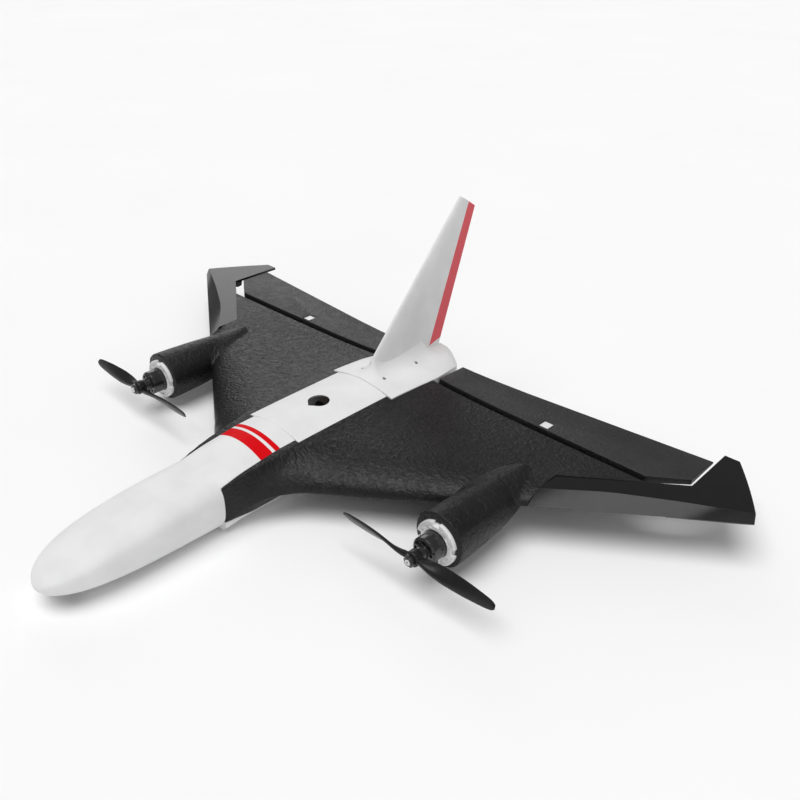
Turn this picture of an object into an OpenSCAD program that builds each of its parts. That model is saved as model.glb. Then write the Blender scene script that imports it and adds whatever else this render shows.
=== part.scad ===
// Twin-motor radio-controlled flying wing: a hollow foam fuselage with a lift-off hatch,
// two swept foam wings with motor pods, plastic tip covers, elevons and a single fin.
// +Z is up and the nose points to -Y. The origin is on the ground under the middle of
// the outline. Shapes are written in the wing datum: y = 0 at the ridge end of the wing
// tip and z = 0 on the wing's flat upper surface.

/* [Airframe] */
// Wing span, tip to tip
span = 690; // [650:5:830]
// Length from the nose tip to the rear corner of the fin's top
length = 477; // [450:1:575]
// Depth of the belly below the wing's upper surface
belly_depth = 46; // [45:0.5:56]
// Distance that the fin's top reaches behind the wing datum
fin_back = 67.1; // [60:0.1:75]

/* [Fuselage] */
// Half width of the nose
nose_half_w = 31.5; // [29.5:0.5:36]
// Half width of the fuselage between the wing roots
body_half_w = 27.2; // [25:0.2:27.6]
// Height of the nose tip's middle, from the wing datum
nose_tip_z = -27; // [-32:1:-22]
// Wall of the foam shell
shell_wall = 4; // [3:0.5:5]
// Height of the ledge that the wing roots sit on
root_ledge_z = -34; // [-36:0.5:-30]
// Front end of the wing roots
root_front_y = -264; // [-268:1:-258]
// Length of the cooling intake under the nose
intake_len = 10; // [8:0.5:12]
// Width of the cooling intake
intake_w = 30; // [24:1:34]
// Half width of the flat strip along the belly
belly_flat_w = 10; // [6:1:14]

/* [Hatch] */
// Front edge of the hatch
hatch_front_y = -187; // [-195:1:-180]
// Rear edge of the hatch, where the tail saddle starts
hatch_rear_y = -84; // [-90:1:-78]
// Half width of the hatch
hatch_half_w = 32; // [30:0.5:34]
// Thickness of the hatch
hatch_t = 3; // [2.4:0.2:4]
// Gap all round the hatch
hatch_gap = 0.4; // [0.3:0.1:0.8]
// Radius of the round end of the drop-shaped vent
vent_r = 9.6; // [7:0.2:11]
// Length from the vent's centre to its point
vent_nose = 13.5; // [11:0.5:18]
// Position of the vent's centre along the body
vent_y = -136; // [-145:1:-125]

/* [Wing] */
// Leading edge at the centre line, before the root curve
root_le_y = -248; // [-252:1:-244]
// Leading edge at the tip
tip_le_y = -8.4; // [-12:0.2:-4]
// Rear upper edge of the wing in front of the hinge groove
hinge_y = -23.2; // [-26:0.2:-20]
// Width of the hinge groove on the upper side
groove_w = 8; // [6:0.5:10]
// Height of the hinge axis, which lies in the lower surface
hinge_z = -7.5; // [-9:0.25:-6.5]
// Radius of the main spar
spar_r = 3; // [2.5:0.25:3.5]
// Radius of the rear spar
rear_spar_r = 2; // [1.5:0.25:2.5]
// Gap round the spars
spar_gap = 0.1; // [0.05:0.05:0.3]
// Half length of the main spar
spar_half = 152; // [120:2:156]
// Half length of the rear spar, which ends short of the servos
rear_spar_half = 104; // [80:2:120]

/* [Tip covers] */
// Width of a tip cover along the span
cover_w = 139; // [125:1:139]
// Distance of the inner corner behind which the horn reaches back
horn_w = 54.3; // [50:0.5:60]
// Thickness of the horn plate
horn_t = 2.6; // [2:0.2:4]
// Distance that the horn reaches behind the wing datum
horn_back = 51.3; // [42:0.5:56]

/* [Elevons] */
// Inner end of an elevon
elevon_in = 37.5; // [37:0.5:44]
// Trailing edge of an elevon at its inner end
elevon_te_in = 14; // [10:1:24]
// Trailing edge of an elevon at its outer end
elevon_te_out = 37.6; // [32:0.5:42]
// Thickness of the trailing edge
te_t = 1.8; // [1.2:0.2:3]
// Gap between the elevon's slanted end and the tip cover
tip_gap = 9; // [6:0.5:11]
// Gap between the elevon's outer end and the horn
horn_gap = 2.5; // [2:0.5:5]
// Gap at the hinge line
hinge_gap = 0.3; // [0.3:0.1:0.6]

/* [Linkage] */
// Position of the control horn along the span
horn_x = 155; // [150:1:160]
// Distance from the hinge axis to the horn's hole, and length of the servo arm
horn_arm = 12; // [10:0.5:15]
// Distance from the servo shaft to the hinge axis
servo_reach = 38; // [34:1:44]
// Radius of the pushrod wire
rod_r = 0.6; // [0.5:0.05:0.9]
// Running gap of the wire in its holes, on the radius
rod_gap = 0.06; // [0.02:0.01:0.1]

/* [Motors] */
// Distance of each motor from the centre line
motor_x = 181; // [176:1:183]
// Height of the motor axis, from the wing datum
motor_z = -16; // [-18:0.5:-12]
// Front face of the motor pods
pod_face_y = -180; // [-186:1:-174]
// Radius of the pod's round top
pod_r = 24.5; // [23:0.25:26.5]
// Outer radius of the motor mount
mount_r = 20; // [19:0.25:21]
// Distance that the mount stands proud of the pod
mount_proud = 3.2; // [2.4:0.2:4]
// Outer radius of the motor bell
bell_r = 11.2; // [10.6:0.1:12]
// Length of the motor bell
bell_len = 18.5; // [16:0.5:22]
// Radius of the motor shaft
shaft_r = 1.5; // [1.25:0.25:2]
// Running gap of the shaft in its bearings, on the radius
shaft_gap = 0.02; // [0.01:0.01:0.08]
// Radius of the threaded propeller stud
stud_r = 2.5; // [2.25:0.25:2.75]
// Propeller radius
prop_r = 75.1; // [60:0.5:90]
// Propeller pitch, the distance moved in one turn
prop_pitch = 114; // [90:2:140]
// Distance from the pod face to the propeller's disc
prop_front = 25.5; // [24.5:0.5:30]

/* [Fin] */
// Height of the fin's top above the wing datum
fin_top_z = 154.7; // [125:0.1:186]
// Thickness of the fin at its foot
fin_t = 9; // [7:0.5:11]
// Thickness of the fin at its top
fin_tip_t = 5; // [4:0.5:7]

/* [Equipment] */
// Battery length
battery_l = 75; // [60:1:80]
// Battery width
battery_w = 34; // [28:1:36]
// Battery height
battery_h = 24; // [16:1:25]
// Front end of the battery
battery_y = -216; // [-222:1:-214]

/* [Hidden] */

foam_white = "whitesmoke";
foam_black = [0.16, 0.16, 0.17];
foam_grey = [0.4, 0.4, 0.42];
gloss_black = [0.08, 0.08, 0.09];
plastic_white = [0.9, 0.9, 0.9];
steel = "silver";
far = 400;

half_span = span / 2;
nose_y = fin_back - length;
le_slope = (tip_le_y - root_le_y) / half_span;
cover_in = half_span - cover_w;
horn_in = half_span - horn_w;
wing_aft_y = hinge_y - groove_w / 2;
elevon_front_y = hinge_y + groove_w / 2;

// ---- lofting -------------------------------------------------------------------------

function ring_sides(n, m) = [
    for (i = [0:n - 2])
        for (j = [0:m - 1])
            let (a = i * m + j, b = i * m + (j + 1) % m)
            each [[a, b, b + m], [a, b + m, a + m]]
];
// Triangles across a ring whose points pair up from its start: lead is 1 where it starts
// with a single point and 0 where it starts with an edge.
function cap(m, lead) = concat(
    [if (lead == 1) [0, 1, m - 1]],
    [
        for (i = [lead:ceil(m / 2)])
            let (a = i, b = i + 1, c = m - 1 + lead - i, d = c - 1)
            each [if (b < c) [a, b, c], if (b < d) [b, d, c]]
    ]
);

// Skins a list of rings, each seen anticlockwise from the side of the first ring.
module loft(rings, lead = 0) {
    n = len(rings);
    m = len(rings[0]);
    ends = cap(m, lead);
    polyhedron(
        points = [for (ring = rings) for (p = ring) p],
        faces = concat(
            [for (t = ends) [t[2], t[1], t[0]]],
            ring_sides(n, m),
            [for (t = ends) [for (k = t) (n - 1) * m + k]]
        ),
        convexity = 6
    );
}

function rise(u) = sqrt(max(0, 1 - pow(1 - min(max(u, 0), 1), 2)));
function mix(a, b, u) = a + (b - a) * u;
function range_from(a, b, n) = [for (i = [0:n]) a + (b - a) * i / n];

// Places what is written in the wing datum.
module datum() {
    translate([0, length / 2 - fin_back, belly_depth])
        children();
}

module left_side() {
    datum()
    mirror([1, 0, 0])
        children();
}

// A cylinder along Y, from y0 back to y1.
module along_y(x, z, r, y0, y1) {
    translate([x, y0, z])
        rotate([-90, 0, 0])
            cylinder(r = r, h = y1 - y0, $fn = 64);
}

// A cylinder along X, from x0 to x1.
module along_x(y, z, r, x0, x1) {
    translate([x0, y, z])
        rotate([0, 90, 0])
            cylinder(r = r, h = x1 - x0, $fn = 48);
}

module plate(outline, z0, z1) {
    translate([0, 0, z0])
        linear_extrude(height = z1 - z0)
            polygon(outline);
}

// ---- fuselage lines ------------------------------------------------------------------

tail_end_y = 48;
// Height of the deck's middle, along the body
deck_line = [
    [root_front_y, 5], [-222, 12], [-202, 12.6], [-136, 13.8], [-84, 14], [-27, 14],
    [10, 13], [23, 11.6], [32, 8], [38, 2], [44.5, -8.5], [tail_end_y, -17]
];
// Height of the deck's edge, where it meets the wing
edge_line = [
    [root_front_y, -2], [-245, 2.5], [-222, 5.5], [-200, 7.6], [-140, 8.6], [-84, 8.8],
    [-50, 7.2], [-22, 4], [0, 2.5], [20, -1], [38, -8], [tail_end_y, -18]
];
belly_line = [
    [root_front_y, -belly_depth], [-50, -belly_depth], [0, -40], [30, -34], [42, -29],
    [tail_end_y, -23]
];
// Half width of the tail saddle
saddle_line = [
    [-84, 38], [-50, 37.5], [-27, 36], [-5, 34], [12, 30.5], [26, 25], [38, 17],
    [45, 9], [tail_end_y, 2]
];
function deck(y) = lookup(y, deck_line);
function edge(y) = lookup(y, edge_line);
function belly(y) = lookup(y, belly_line);
function saddle_w(y) = lookup(y, saddle_line);

nose_power_w = 5;
nose_power_top = 1.9;
nose_power_low = 2.4;
nose_mid_share = 0.4;
section_steps = 11;

// Ring of the nose at share t of the way to its tip.
function nose_ring(t, inset) =
    let (
        s = min(t, 0.9992),
        w = nose_half_w * sqrt(1 - pow(s, nose_power_w)) - inset,
        top = mix(nose_tip_z, deck(root_front_y), sqrt(1 - pow(s, nose_power_top))) - inset,
        low = mix(nose_tip_z, -belly_depth, sqrt(1 - pow(s, nose_power_low))) + inset,
        mid = mix(low, top, 1 - nose_mid_share)
    )
    [for (i = [0:4 * section_steps - 1])
        let (
            a = i * 90 / section_steps,
            up = sin(a) >= 0,
            e = up ? 2 / 3 : 2 / 2.5,
            x = sign(cos(a)) * pow(abs(cos(a)), e) * w,
            z = mid + pow(abs(sin(a)), e) * (up ? top - mid : low - mid)
        )
        [x, mix(root_front_y, nose_y, t), z]
    ];

function nose_stations(n) = [for (i = [0:n]) 1 - pow(i / n, 1.7)];

module nose_shape(inset, t_end) {
    loft([for (t = nose_stations(22)) if (t <= t_end) nose_ring(t, inset)], 1);
}

// Rise of the ledge towards the body
ledge_slope = 0.5;

// Right half of a body section, from the flat belly up to the middle of the deck.
function half_section(y, low_w, side_w, ledge, crown, top) =
    let (low = belly(y), steps = 8, flat = min(belly_flat_w, low_w / 2))
    concat(
        [[flat, low]],
        [for (i = [2:steps])
            let (u = pow(i / steps, 1.8))
            [flat + (low_w - flat) * pow(1 - pow(1 - u, 2.5), 0.5), low + (ledge - low) * u]
        ],
        [[side_w, ledge + ledge_slope], [side_w, crown]],
        [for (i = [1:6])
            let (x = side_w * (1 - i / 6))
            [x, crown + (top - crown) * (1 - pow(x / side_w, 2))]
        ]
    );

function full_section(half, y) =
    let (n = len(half))
    concat(
        [for (p = half) [p[0], y, p[1]]],
        [for (i = [n - 2:-1:0]) [-half[i][0], y, half[i][1]]]
    );

body_stations = [
    root_front_y, -250, -236, -222, -202, -187, -160, -136, -110, -84, -60, -50, -38,
    wing_aft_y - 0.3, wing_aft_y + 0.2, -22, -10, 0, 10, 20, 26, 32, 38, 42, 45, 47, tail_end_y
];
// The body is narrow between the wing roots and as wide as the saddle behind them.
function between_wings(y) = y < wing_aft_y;
function body_side(y) = between_wings(y) ? body_half_w : saddle_w(y);
function body_low_w(y) = between_wings(y) ? nose_half_w - 1.2 : 0.97 * saddle_w(y);
function body_ledge(y) = between_wings(y) ? root_ledge_z : mix(belly(y), edge(y), 0.5);

module body_shape() {
    loft([for (y = body_stations)
        full_section(half_section(y, body_low_w(y), body_side(y), body_ledge(y), edge(y), deck(y)), y)]);
}

module fuselage_outside() {
    union() {
        nose_shape(0, 1);
        body_shape();
    }
}

bay_front_y = -246;
bay_rear_y = -52;
bay_floor_z = shell_wall - belly_depth;
bay_half_w = body_half_w - shell_wall;
bay_lid_z = -2;
bay_corner_r = 4;
bay_rim = 8;
bay_open_front = hatch_front_y + bay_rim;
bay_open_rear = hatch_rear_y - bay_rim;
// Front end, rear end and top of each stretch of the bay
bay_parts = [
    [bay_front_y, bay_open_front + 2 * bay_corner_r, bay_lid_z],
    [bay_open_front, bay_open_rear, 30],
    [bay_open_rear - 2 * bay_corner_r, bay_rear_y, bay_lid_z]
];

// Bay with round lower corners: open under the hatch, roofed in front and behind.
module bay_space() {
    for (part = bay_parts)
        hull()
            for (x = [-1, 1])
                for (y = [part[0] + bay_corner_r, part[1] - bay_corner_r])
                    translate([x * (bay_half_w - bay_corner_r), y, bay_floor_z + bay_corner_r]) {
                        sphere(r = bay_corner_r, $fn = 24);
                        cylinder(r = bay_corner_r, h = part[2] - bay_floor_z - bay_corner_r,
                            $fn = 24);
                    }
}

intake_y = nose_y + 17;
intake_top_z = -30;
duct_z = -31;
duct_r = 4;

module intake_space(gap, top) {
    translate([-intake_w / 2 - gap, intake_y - gap, -belly_depth - 1])
        cube([intake_w + 2 * gap, intake_len + 2 * gap, top + belly_depth + 1]);
}

seat_drop = hatch_t + 0.2;

// Everything above the seat of a deck piece, from y0 back to y1.
module above_seat(y0, y1, half_w, drop) {
    between = [for (y = body_stations) if (y > y0 + 1 && y < y1 - 1) y];
    ys = concat([y0], between, [y1]);
    loft([for (y = ys)
        let (s = edge(y) - drop)
        [[-half_w, y, s], [half_w, y, s], [half_w, y, s + 60], [-half_w, y, s + 60]]
    ]);
}

magnet_r = 2.4;
magnet_t = 1.5;
magnet_wall = 0.6;
magnet_x = body_half_w - 9.6;
magnet_ys = [hatch_front_y + 4, hatch_rear_y - 4];

// Small round magnets in the corners of the hatch opening, from z0 above its seat.
module magnet_discs(z0, h) {
    for (y = magnet_ys)
        for (x = [-magnet_x, magnet_x])
            translate([x, y, edge(y) - seat_drop + z0])
                cylinder(r = magnet_r, h = h, $fn = 32);
}

main_spar_y = -118;
spar_z = -7;
rear_spar_y = -62;
rear_spar_z = -5.5;
lead_y = -128;
lead_z = -9;
lead_r = 2.5;

// Channel for the motor leads, from the bay to the right motor pod.
module lead_channel() {
    along_x(lead_y, lead_z, lead_r, 20, motor_x);
}

module fuselage() {
    color(foam_white)
    datum()
    difference() {
        fuselage_outside();
        bay_space();
        above_seat(hatch_front_y, tail_end_y + 5, far, seat_drop);
        intake_space(0, intake_top_z);
        along_y(0, duct_z, duct_r, intake_y + 2, bay_front_y + 2);
        along_x(main_spar_y, spar_z, spar_r + spar_gap, -60, 60);
        along_x(rear_spar_y, rear_spar_z, rear_spar_r + spar_gap, -60, 60);
        magnet_discs(-magnet_t, 5);
        lead_channel();
        mirror([1, 0, 0])
            lead_channel();
    }
}

intake_slots = 5;
intake_slot_w = 4;
intake_rim = 1.5;
intake_gap = 0.3;
intake_recess = 0.8;

// Small grille that sits in the intake, with slots between its bars.
module nose_intake() {
    color(gloss_black)
    datum()
    difference() {
        intersection() {
            intake_space(0, intake_top_z - intake_gap);
            nose_shape(intake_recess, 1);
        }
        for (i = [0:intake_slots - 1])
            translate([
                (i - (intake_slots - 1) / 2) * intake_w / intake_slots - intake_slot_w / 2,
                intake_y + intake_rim, -belly_depth - 2
            ])
                cube([intake_slot_w, intake_len - 2 * intake_rim, belly_depth]);
    }
}

// ---- hatch and tail ------------------------------------------------------------------

hatch_ys = [hatch_front_y + hatch_gap, -160, -136, -110, hatch_rear_y - hatch_gap];

// Arched skin of a deck piece through the listed stations.
module deck_skin(ys, half_w, thick) {
    steps = 12;
    loft([for (y = ys)
        let (w = half_w, crown = deck(y) - edge(y))
        concat(
            [for (k = [0:steps])
                let (x = -w + 2 * w * k / steps)
                [x, y, edge(y) - thick + max(0, 1 - pow(x / body_half_w, 2)) * crown]],
            [for (k = [steps:-1:0])
                let (x = -w + 2 * w * k / steps)
                [x, y, edge(y) + crown * (1 - pow(x / w, 2))]]
        )
    ]);
}

module vent_outline() {
    union() {
        circle(r = vent_r, $fn = 64);
        polygon([
            [0, -vent_nose], [vent_r * cos(35), -vent_r * sin(35)],
            [0, vent_r * 0.5], [-vent_r * cos(35), -vent_r * sin(35)]
        ]);
    }
}

module hatch() {
    color(foam_white)
    datum()
    difference() {
        union() {
            deck_skin(hatch_ys, hatch_half_w - hatch_gap, hatch_t);
            magnet_bosses();
        }
        translate([0, vent_y, -20])
            linear_extrude(height = 60)
                vent_outline();
        magnet_discs(0.2, magnet_t);
    }
}

module magnet_bosses() {
    for (y = magnet_ys)
        for (x = [-magnet_x, magnet_x])
            translate([x, y, edge(y) - seat_drop + 0.2])
                cylinder(r = magnet_r + magnet_wall, h = 4, $fn = 32);
}

module hatch_magnets() {
    color(steel)
    datum()
    magnet_discs(0.2, magnet_t);
}

module bay_magnets() {
    color(steel)
    datum()
    magnet_discs(-magnet_t, magnet_t - 0.1);
}

saddle_front_y = hatch_rear_y + 0.2;
fin_foot_z = 8;
fin_cut = 13.8;
fin_top_l = 21.5;
fin_lean = 0.9275;
fin_te_lean = 0.372;
fin_foot_front = -80;
function fin_le(z) = max(fin_foot_front, fin_back - fin_top_l - (fin_top_z - z) * fin_lean);
function fin_te(z) = fin_back - (fin_top_z - fin_cut - z) * fin_te_lean;

fillet_peak = 22;
fillet_half_w = 24;
// Share of the fin fillet's height along the body
fillet_line = [
    [-84, 0.05], [-80, 0.24], [-76, 0.43], [-68, 0.8], [-60, 1], [-30, 1],
    [0, 0.75], [14, 0.4], [23, 0.1], [32, 0]
];
saddle_ys = [
    saddle_front_y, -78, -70, -60, -50, -38, wing_aft_y, -22, -10, 0, 10, 20, 26, 32, 38, 42,
    45, 47, tail_end_y
];

function saddle_top(x, y) =
    let (
        w = saddle_w(y),
        crown = (deck(y) - edge(y)) * (1 - pow(abs(x) / w, 2.2)),
        near = max(0, 1 - abs(x) / min(fillet_half_w, w))
    )
    edge(y) + crown + fillet_peak * lookup(y, fillet_line) * pow(near, 2.3);

module saddle_shape() {
    steps = 24;
    loft([for (y = saddle_ys)
        let (w = saddle_w(y))
        concat(
            [for (k = [0:steps]) [-w * cos(180 * k / steps), y, edge(y) - seat_drop]],
            [for (k = [steps:-1:0])
                let (x = -w * cos(180 * k / steps))
                [x, y, saddle_top(x, y)]]
        )
    ]);
}

module tail_saddle() {
    color(foam_white)
    datum()
    difference() {
        saddle_shape();
        fin_blade(0.15);
        screw_places() {
            translate([0, 0, -screw_l - 1])
                cylinder(r = screw_r, h = screw_l + 2, $fn = 24);
            translate([0, 0, -screw_recess])
                cylinder(r = screw_head_r + 0.1, h = screw_recess + 4, $fn = 32);
        }
    }
}

fin_steps = 8;
fin_levels = [fin_foot_z, 18, 30, 50, 75, 100, fin_top_z - fin_cut - 3];

// Half thickness along the chord as a share of the most: round in front, thin behind.
function fin_half(u) = min(rise(u / 0.3), mix(1, 0.3, (u - 0.3) / 0.7));

// Ring round the fin from (y0, z0) at its front to (y1, z1) at its rear edge.
function fin_ring(y0, z0, y1, z1, t) =
    let (us = [for (k = [0:fin_steps]) pow(k / fin_steps, 1.6)])
    concat(
        [for (u = us) [-t * fin_half(u), mix(y0, y1, u), mix(z0, z1, u)]],
        [for (k = [fin_steps:-1:1]) [t * fin_half(us[k]), mix(y0, y1, us[k]), mix(z0, z1, us[k])]]
    );

// Fin from its foot up; the foot passes into a slot in the saddle.
module fin_blade(gap) {
    loft(concat(
        [for (z = fin_levels)
            let (t = mix(fin_t, fin_tip_t, (z - fin_foot_z) / (fin_top_z - fin_foot_z)) / 2)
            fin_ring(fin_le(z) - gap, z - gap, fin_te(z) + gap, z - gap, t + gap)],
        [fin_ring(fin_back - fin_top_l, fin_top_z, fin_back, fin_top_z - fin_cut, fin_tip_t / 2)]
    ), 1);
}

module fin() {
    color(foam_white)
    datum()
    fin_blade(0);
}

screw_r = 1.4;
screw_head_r = 2.6;
screw_head_t = 0.9;
screw_recess = 1.6;
screw_l = 8;
screw_spots = [[14, -69], [13.5, -26], [-14, -69], [-13.5, -26], [0, 24]];

// Puts its children at each fin screw, with z = 0 on the saddle.
module screw_places() {
    for (p = screw_spots)
        translate([p[0], p[1], saddle_top(p[0], p[1])])
            children();
}

module fin_screws() {
    color(steel)
    datum()
    screw_places() {
        translate([0, 0, -screw_l])
            cylinder(r = screw_r, h = screw_l - screw_recess, $fn = 24);
        translate([0, 0, -screw_recess])
            difference() {
                cylinder(r = screw_head_r, h = screw_head_t, $fn = 32);
                translate([-0.3, -1.6, screw_head_t / 2])
                    cube([0.6, 3.2, 1]);
            }
    }
}

// ---- wing ----------------------------------------------------------------------------

wing_root_x = 24;
// Leading edge of the root curve: distance from the centre line, position and height
le_y_line = [
    [28.5, root_front_y], [31.5, -256], [34, -246], [38, -236], [44, -226.5], [52, -216],
    [60, -207.5], [70, -200]
];
le_z_line = [
    [28.5, root_ledge_z + 1], [31.5, -30], [34, -26], [38, -22.5], [44, -20], [52, -18.5],
    [62, -17.5], [80, -16], [120, -13], [cover_in, -10.5], [half_span, -7]
];
le_straight_x = 76;
function le_line(x) = root_le_y + x * le_slope;
function le_y(x) = x < le_straight_x
    ? lookup(x, concat(le_y_line, [[le_straight_x, le_line(le_straight_x)]]))
    : le_line(x);
function le_z(x) = lookup(x, le_z_line);
// Length over which the upper surface rises behind the leading edge
rise_line = [
    [28.5, 1.5], [31.5, 22], [36, 46], [44, 60], [62, 62], [80, 56], [150, 42], [260, 26],
    [half_span, 10]
];
root_fade = 45;
crest = 0.6;
hinge_rise = 3.5;
// Underside of the wing behind its leading edge
belly_z_line = [
    [28.5, root_ledge_z], [31.5, -30], [40, -24], [62, -22], [100, -20], [cover_in, -14],
    [half_span, -13.5]
];
under_fade = 5;
root_belly_line = [[-264, root_ledge_z], [-110, root_ledge_z], [-60, -24], [-20, -9]];

function root_share(x) = exp(-max(0, x - 32) / root_fade);
function hinge_top(x) = hinge_rise * exp(-max(0, x - elevon_in) / root_fade);
function wing_top(x, y) =
    let (
        u = (y - le_y(x)) / (wing_aft_y - le_y(x)),
        outer = mix(crest, 0, max(0, (u - 0.4) / 0.6)),
        flat = mix(outer, edge(y), root_share(x))
    )
    mix(le_z(x), flat, rise((y - le_y(x)) / lookup(x, rise_line)));
function wing_low(x, y) =
    let (
        u = (y - le_y(x)) / (wing_aft_y - le_y(x)),
        outer = mix(lookup(x, belly_z_line), hinge_z, max(0, (u - 0.35) / 0.65)),
        share = exp(-max(0, x - 32) / under_fade),
        flat = mix(outer, lookup(y, root_belly_line), share)
    )
    mix(le_z(x), min(flat, le_z(x) - 1), rise((y - le_y(x)) / (0.7 * lookup(x, rise_line))));

chord_steps = 16;
function chord_share(k) = pow(k / chord_steps, 2.2);

// Width of the hinge tape on either side of the hinge line
tape_w = 5;

// Section of the foam wing: over the top to the hinge groove, and back underneath.
function wing_ring(x) = concat(
    [for (k = [0:chord_steps])
        let (y = mix(le_y(x), wing_aft_y, chord_share(k)))
        [x, y, wing_top(x, y)]],
    [[x, hinge_y - hinge_gap, hinge_z], [x, hinge_y - hinge_gap - tape_w, hinge_z]],
    [for (k = [chord_steps - 1:-1:1])
        let (y = mix(le_y(x), wing_aft_y, chord_share(k)))
        [x, y, wing_low(x, y)]]
);

wing_xs = concat(
    [wing_root_x, 28.5, 31.5, 34, 36, 38, 41, 44, 48, 52, 57, 62, 70, 76, 86, 100, 120, 145, 170],
    range_from(motor_x + 16, half_span - 70, 6)
);

module wing_blank() {
    loft([for (x = wing_xs) wing_ring(x)], 1);
}

// Corners of a tip cover: the slanted rear edge runs from the pod to the horn.
cover_rear_y = -68.7;
horn_corner_y = -6.1;
horn_top_w = 43;
horn_rear_in = horn_in - 1.8;
tip_edge_bulge = 1.5;
function cover_rear(x) = mix(cover_rear_y, horn_corner_y, (x - cover_in) / (horn_in - cover_in));
function tip_edge(u) = [
    mix(half_span - horn_top_w, half_span, u) + 4 * tip_edge_bulge * u * (1 - u),
    mix(horn_back, tip_le_y, u)
];

cover_outline = concat(
    [[cover_in, cover_rear_y], [horn_in, horn_corner_y], [horn_rear_in, horn_back]],
    [for (k = [0:8]) tip_edge(k / 8)],
    [[half_span, tip_le_y - 6], [cover_in, le_y(cover_in) - 6]]
);

module cover_footprint(z0, z1) {
    plate(cover_outline, z0, z1);
}

// Width of the slanted strip along the leading edge, from the tip inwards
strip_line = [[0, 4], [49.6, 12.3], [96, 17.2], [139, 12.7]];
cover_z = 0;
cover_belly_z = -13.5;

// Rear end of the cover's thick part: past its slanted edge, or at the horn's corner
function cover_thick_end(x) = x < horn_in ? cover_rear(x) + 8 : max(horn_corner_y, le_y(x) + 8);
function cover_ring(x) =
    let (
        y0 = le_y(x),
        y1 = cover_thick_end(x),
        y2 = y1 + 1,
        y3 = horn_back + 6,
        ridge = y0 + lookup(half_span - x, strip_line),
        mid = mix(ridge, y1, 0.35),
        front_z = le_z(x),
        deep = mix(cover_belly_z, front_z - 2, (x - cover_in) / cover_w)
    )
    [
        [x, y0, front_z], [x, ridge, cover_z], [x, mid, cover_z], [x, y1, cover_z],
        [x, y2, cover_z], [x, y3, cover_z], [x, y3, cover_z - horn_t], [x, y2, cover_z - horn_t],
        [x, y1, hinge_z], [x, mid, deep], [x, mix(y0, y1, 0.08), mix(front_z, deep, 0.7)]
    ];

module tip_cover_shape() {
    intersection() {
        loft([for (x = concat(range_from(cover_in, horn_in - 0.1, 7), range_from(horn_in, half_span, 6)))
            cover_ring(x)], 1);
        cover_footprint(-30, 10);
    }
}

// ---- motor pod -----------------------------------------------------------------------

pod_flank = 22.8;
pod_under = 22;
crease = 35;
// Half outline of the pod: round above the creases, flat-sided below them
pod_half = concat(
    [[0, -pod_under], [12, -19.5], [19.6, -12], [pod_flank, -1], [pod_flank, 6]],
    [for (a = [crease:11:90]) pod_r * [cos(a), sin(a)]]
);
pod_full = concat(pod_half, [for (i = [len(pod_half) - 2:-1:1]) [-pod_half[i][0], pod_half[i][1]]]);
// Width, top and underside of the pod from its face back, as shares of the front's
pod_width_line = [
    [0, 0.95], [1.3, 1], [30, 0.97], [55, 0.9], [75, 0.78], [90, 0.6], [100, 0.34], [105, 0.12]
];
pod_top_line = [
    [0, 0.97], [1.3, 1], [34, 0.95], [58, 0.89], [75, 0.83], [90, 0.78], [100, 0.73], [105, 0.67]
];
pod_low_line = [
    [0, 0.95], [1.3, 1], [30, 0.97], [55, 0.86], [75, 0.6], [90, 0.3], [100, 0.12], [105, 0.1]
];
pod_stations = [0, 1.3, 15, 30, 45, 58, 68, 78, 86, 93, 99, 103, 105];

module pod_shape() {
    loft([for (d = pod_stations)
        [for (p = pod_full)
            [
                motor_x + p[0] * lookup(d, pod_width_line),
                pod_face_y + d,
                motor_z + p[1] * lookup(d, p[1] > 0 ? pod_top_line : pod_low_line)
            ]
        ]
    ], 1);
}

mount_sleeve_r = 17.5;
mount_depth = 8;
mount_wall = 2.5;
mount_gap = 0.1;
esc_bay_r = 12;
esc_bay_l = 46;
// Servo, lying flat: length along the body, thickness, and height along the span
servo_l = 23;
servo_w = 12;
servo_h = 22;
servo_gap = 0.2;
servo_ear_l = 4.5;
servo_ear_t = 2.5;
servo_ear_x = 5;
servo_axis_in = 6;
servo_y = hinge_y - servo_reach;
servo_face_x = horn_x - 3.4;

// Servo case with its two mounting ears, grown by a gap all round.
module servo_case(gap) {
    translate([servo_face_x - servo_h - gap, servo_y - servo_l + servo_axis_in - gap,
        hinge_z - servo_w / 2 - gap])
        cube([servo_h + 2 * gap, servo_l + 2 * gap, servo_w + 2 * gap]);
    translate([servo_face_x - servo_ear_x - servo_ear_t - gap,
        servo_y - servo_l + servo_axis_in - servo_ear_l - gap, hinge_z - servo_w / 2 - gap])
        cube([servo_ear_t + 2 * gap, servo_l + 2 * servo_ear_l + 2 * gap, servo_w + 2 * gap]);
}

arm_slot_w = 9;
arm_slot_l = 16;

// Pocket for the servo, open underneath, and the slot that its arm swings in.
module servo_pocket() {
    servo_case(servo_gap);
    translate([0, 0, -servo_w])
        servo_case(servo_gap);
    translate([servo_face_x, servo_y - arm_slot_l / 2, -40])
        cube([arm_slot_w, arm_slot_l, 40 + hinge_z + 5]);
}

// Bed of the tail saddle in the wings.
module saddle_pocket() {
    ys = [for (y = saddle_ys) if (y < -20) y];
    outline = concat(
        [for (y = ys) [saddle_w(y), y]],
        [for (i = [len(ys) - 1:-1:0]) [-saddle_w(ys[i]), ys[i]]]
    );
    intersection() {
        above_seat(hatch_rear_y, tail_end_y, far, seat_drop);
        plate(outline, -20, 60);
    }
}

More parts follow.
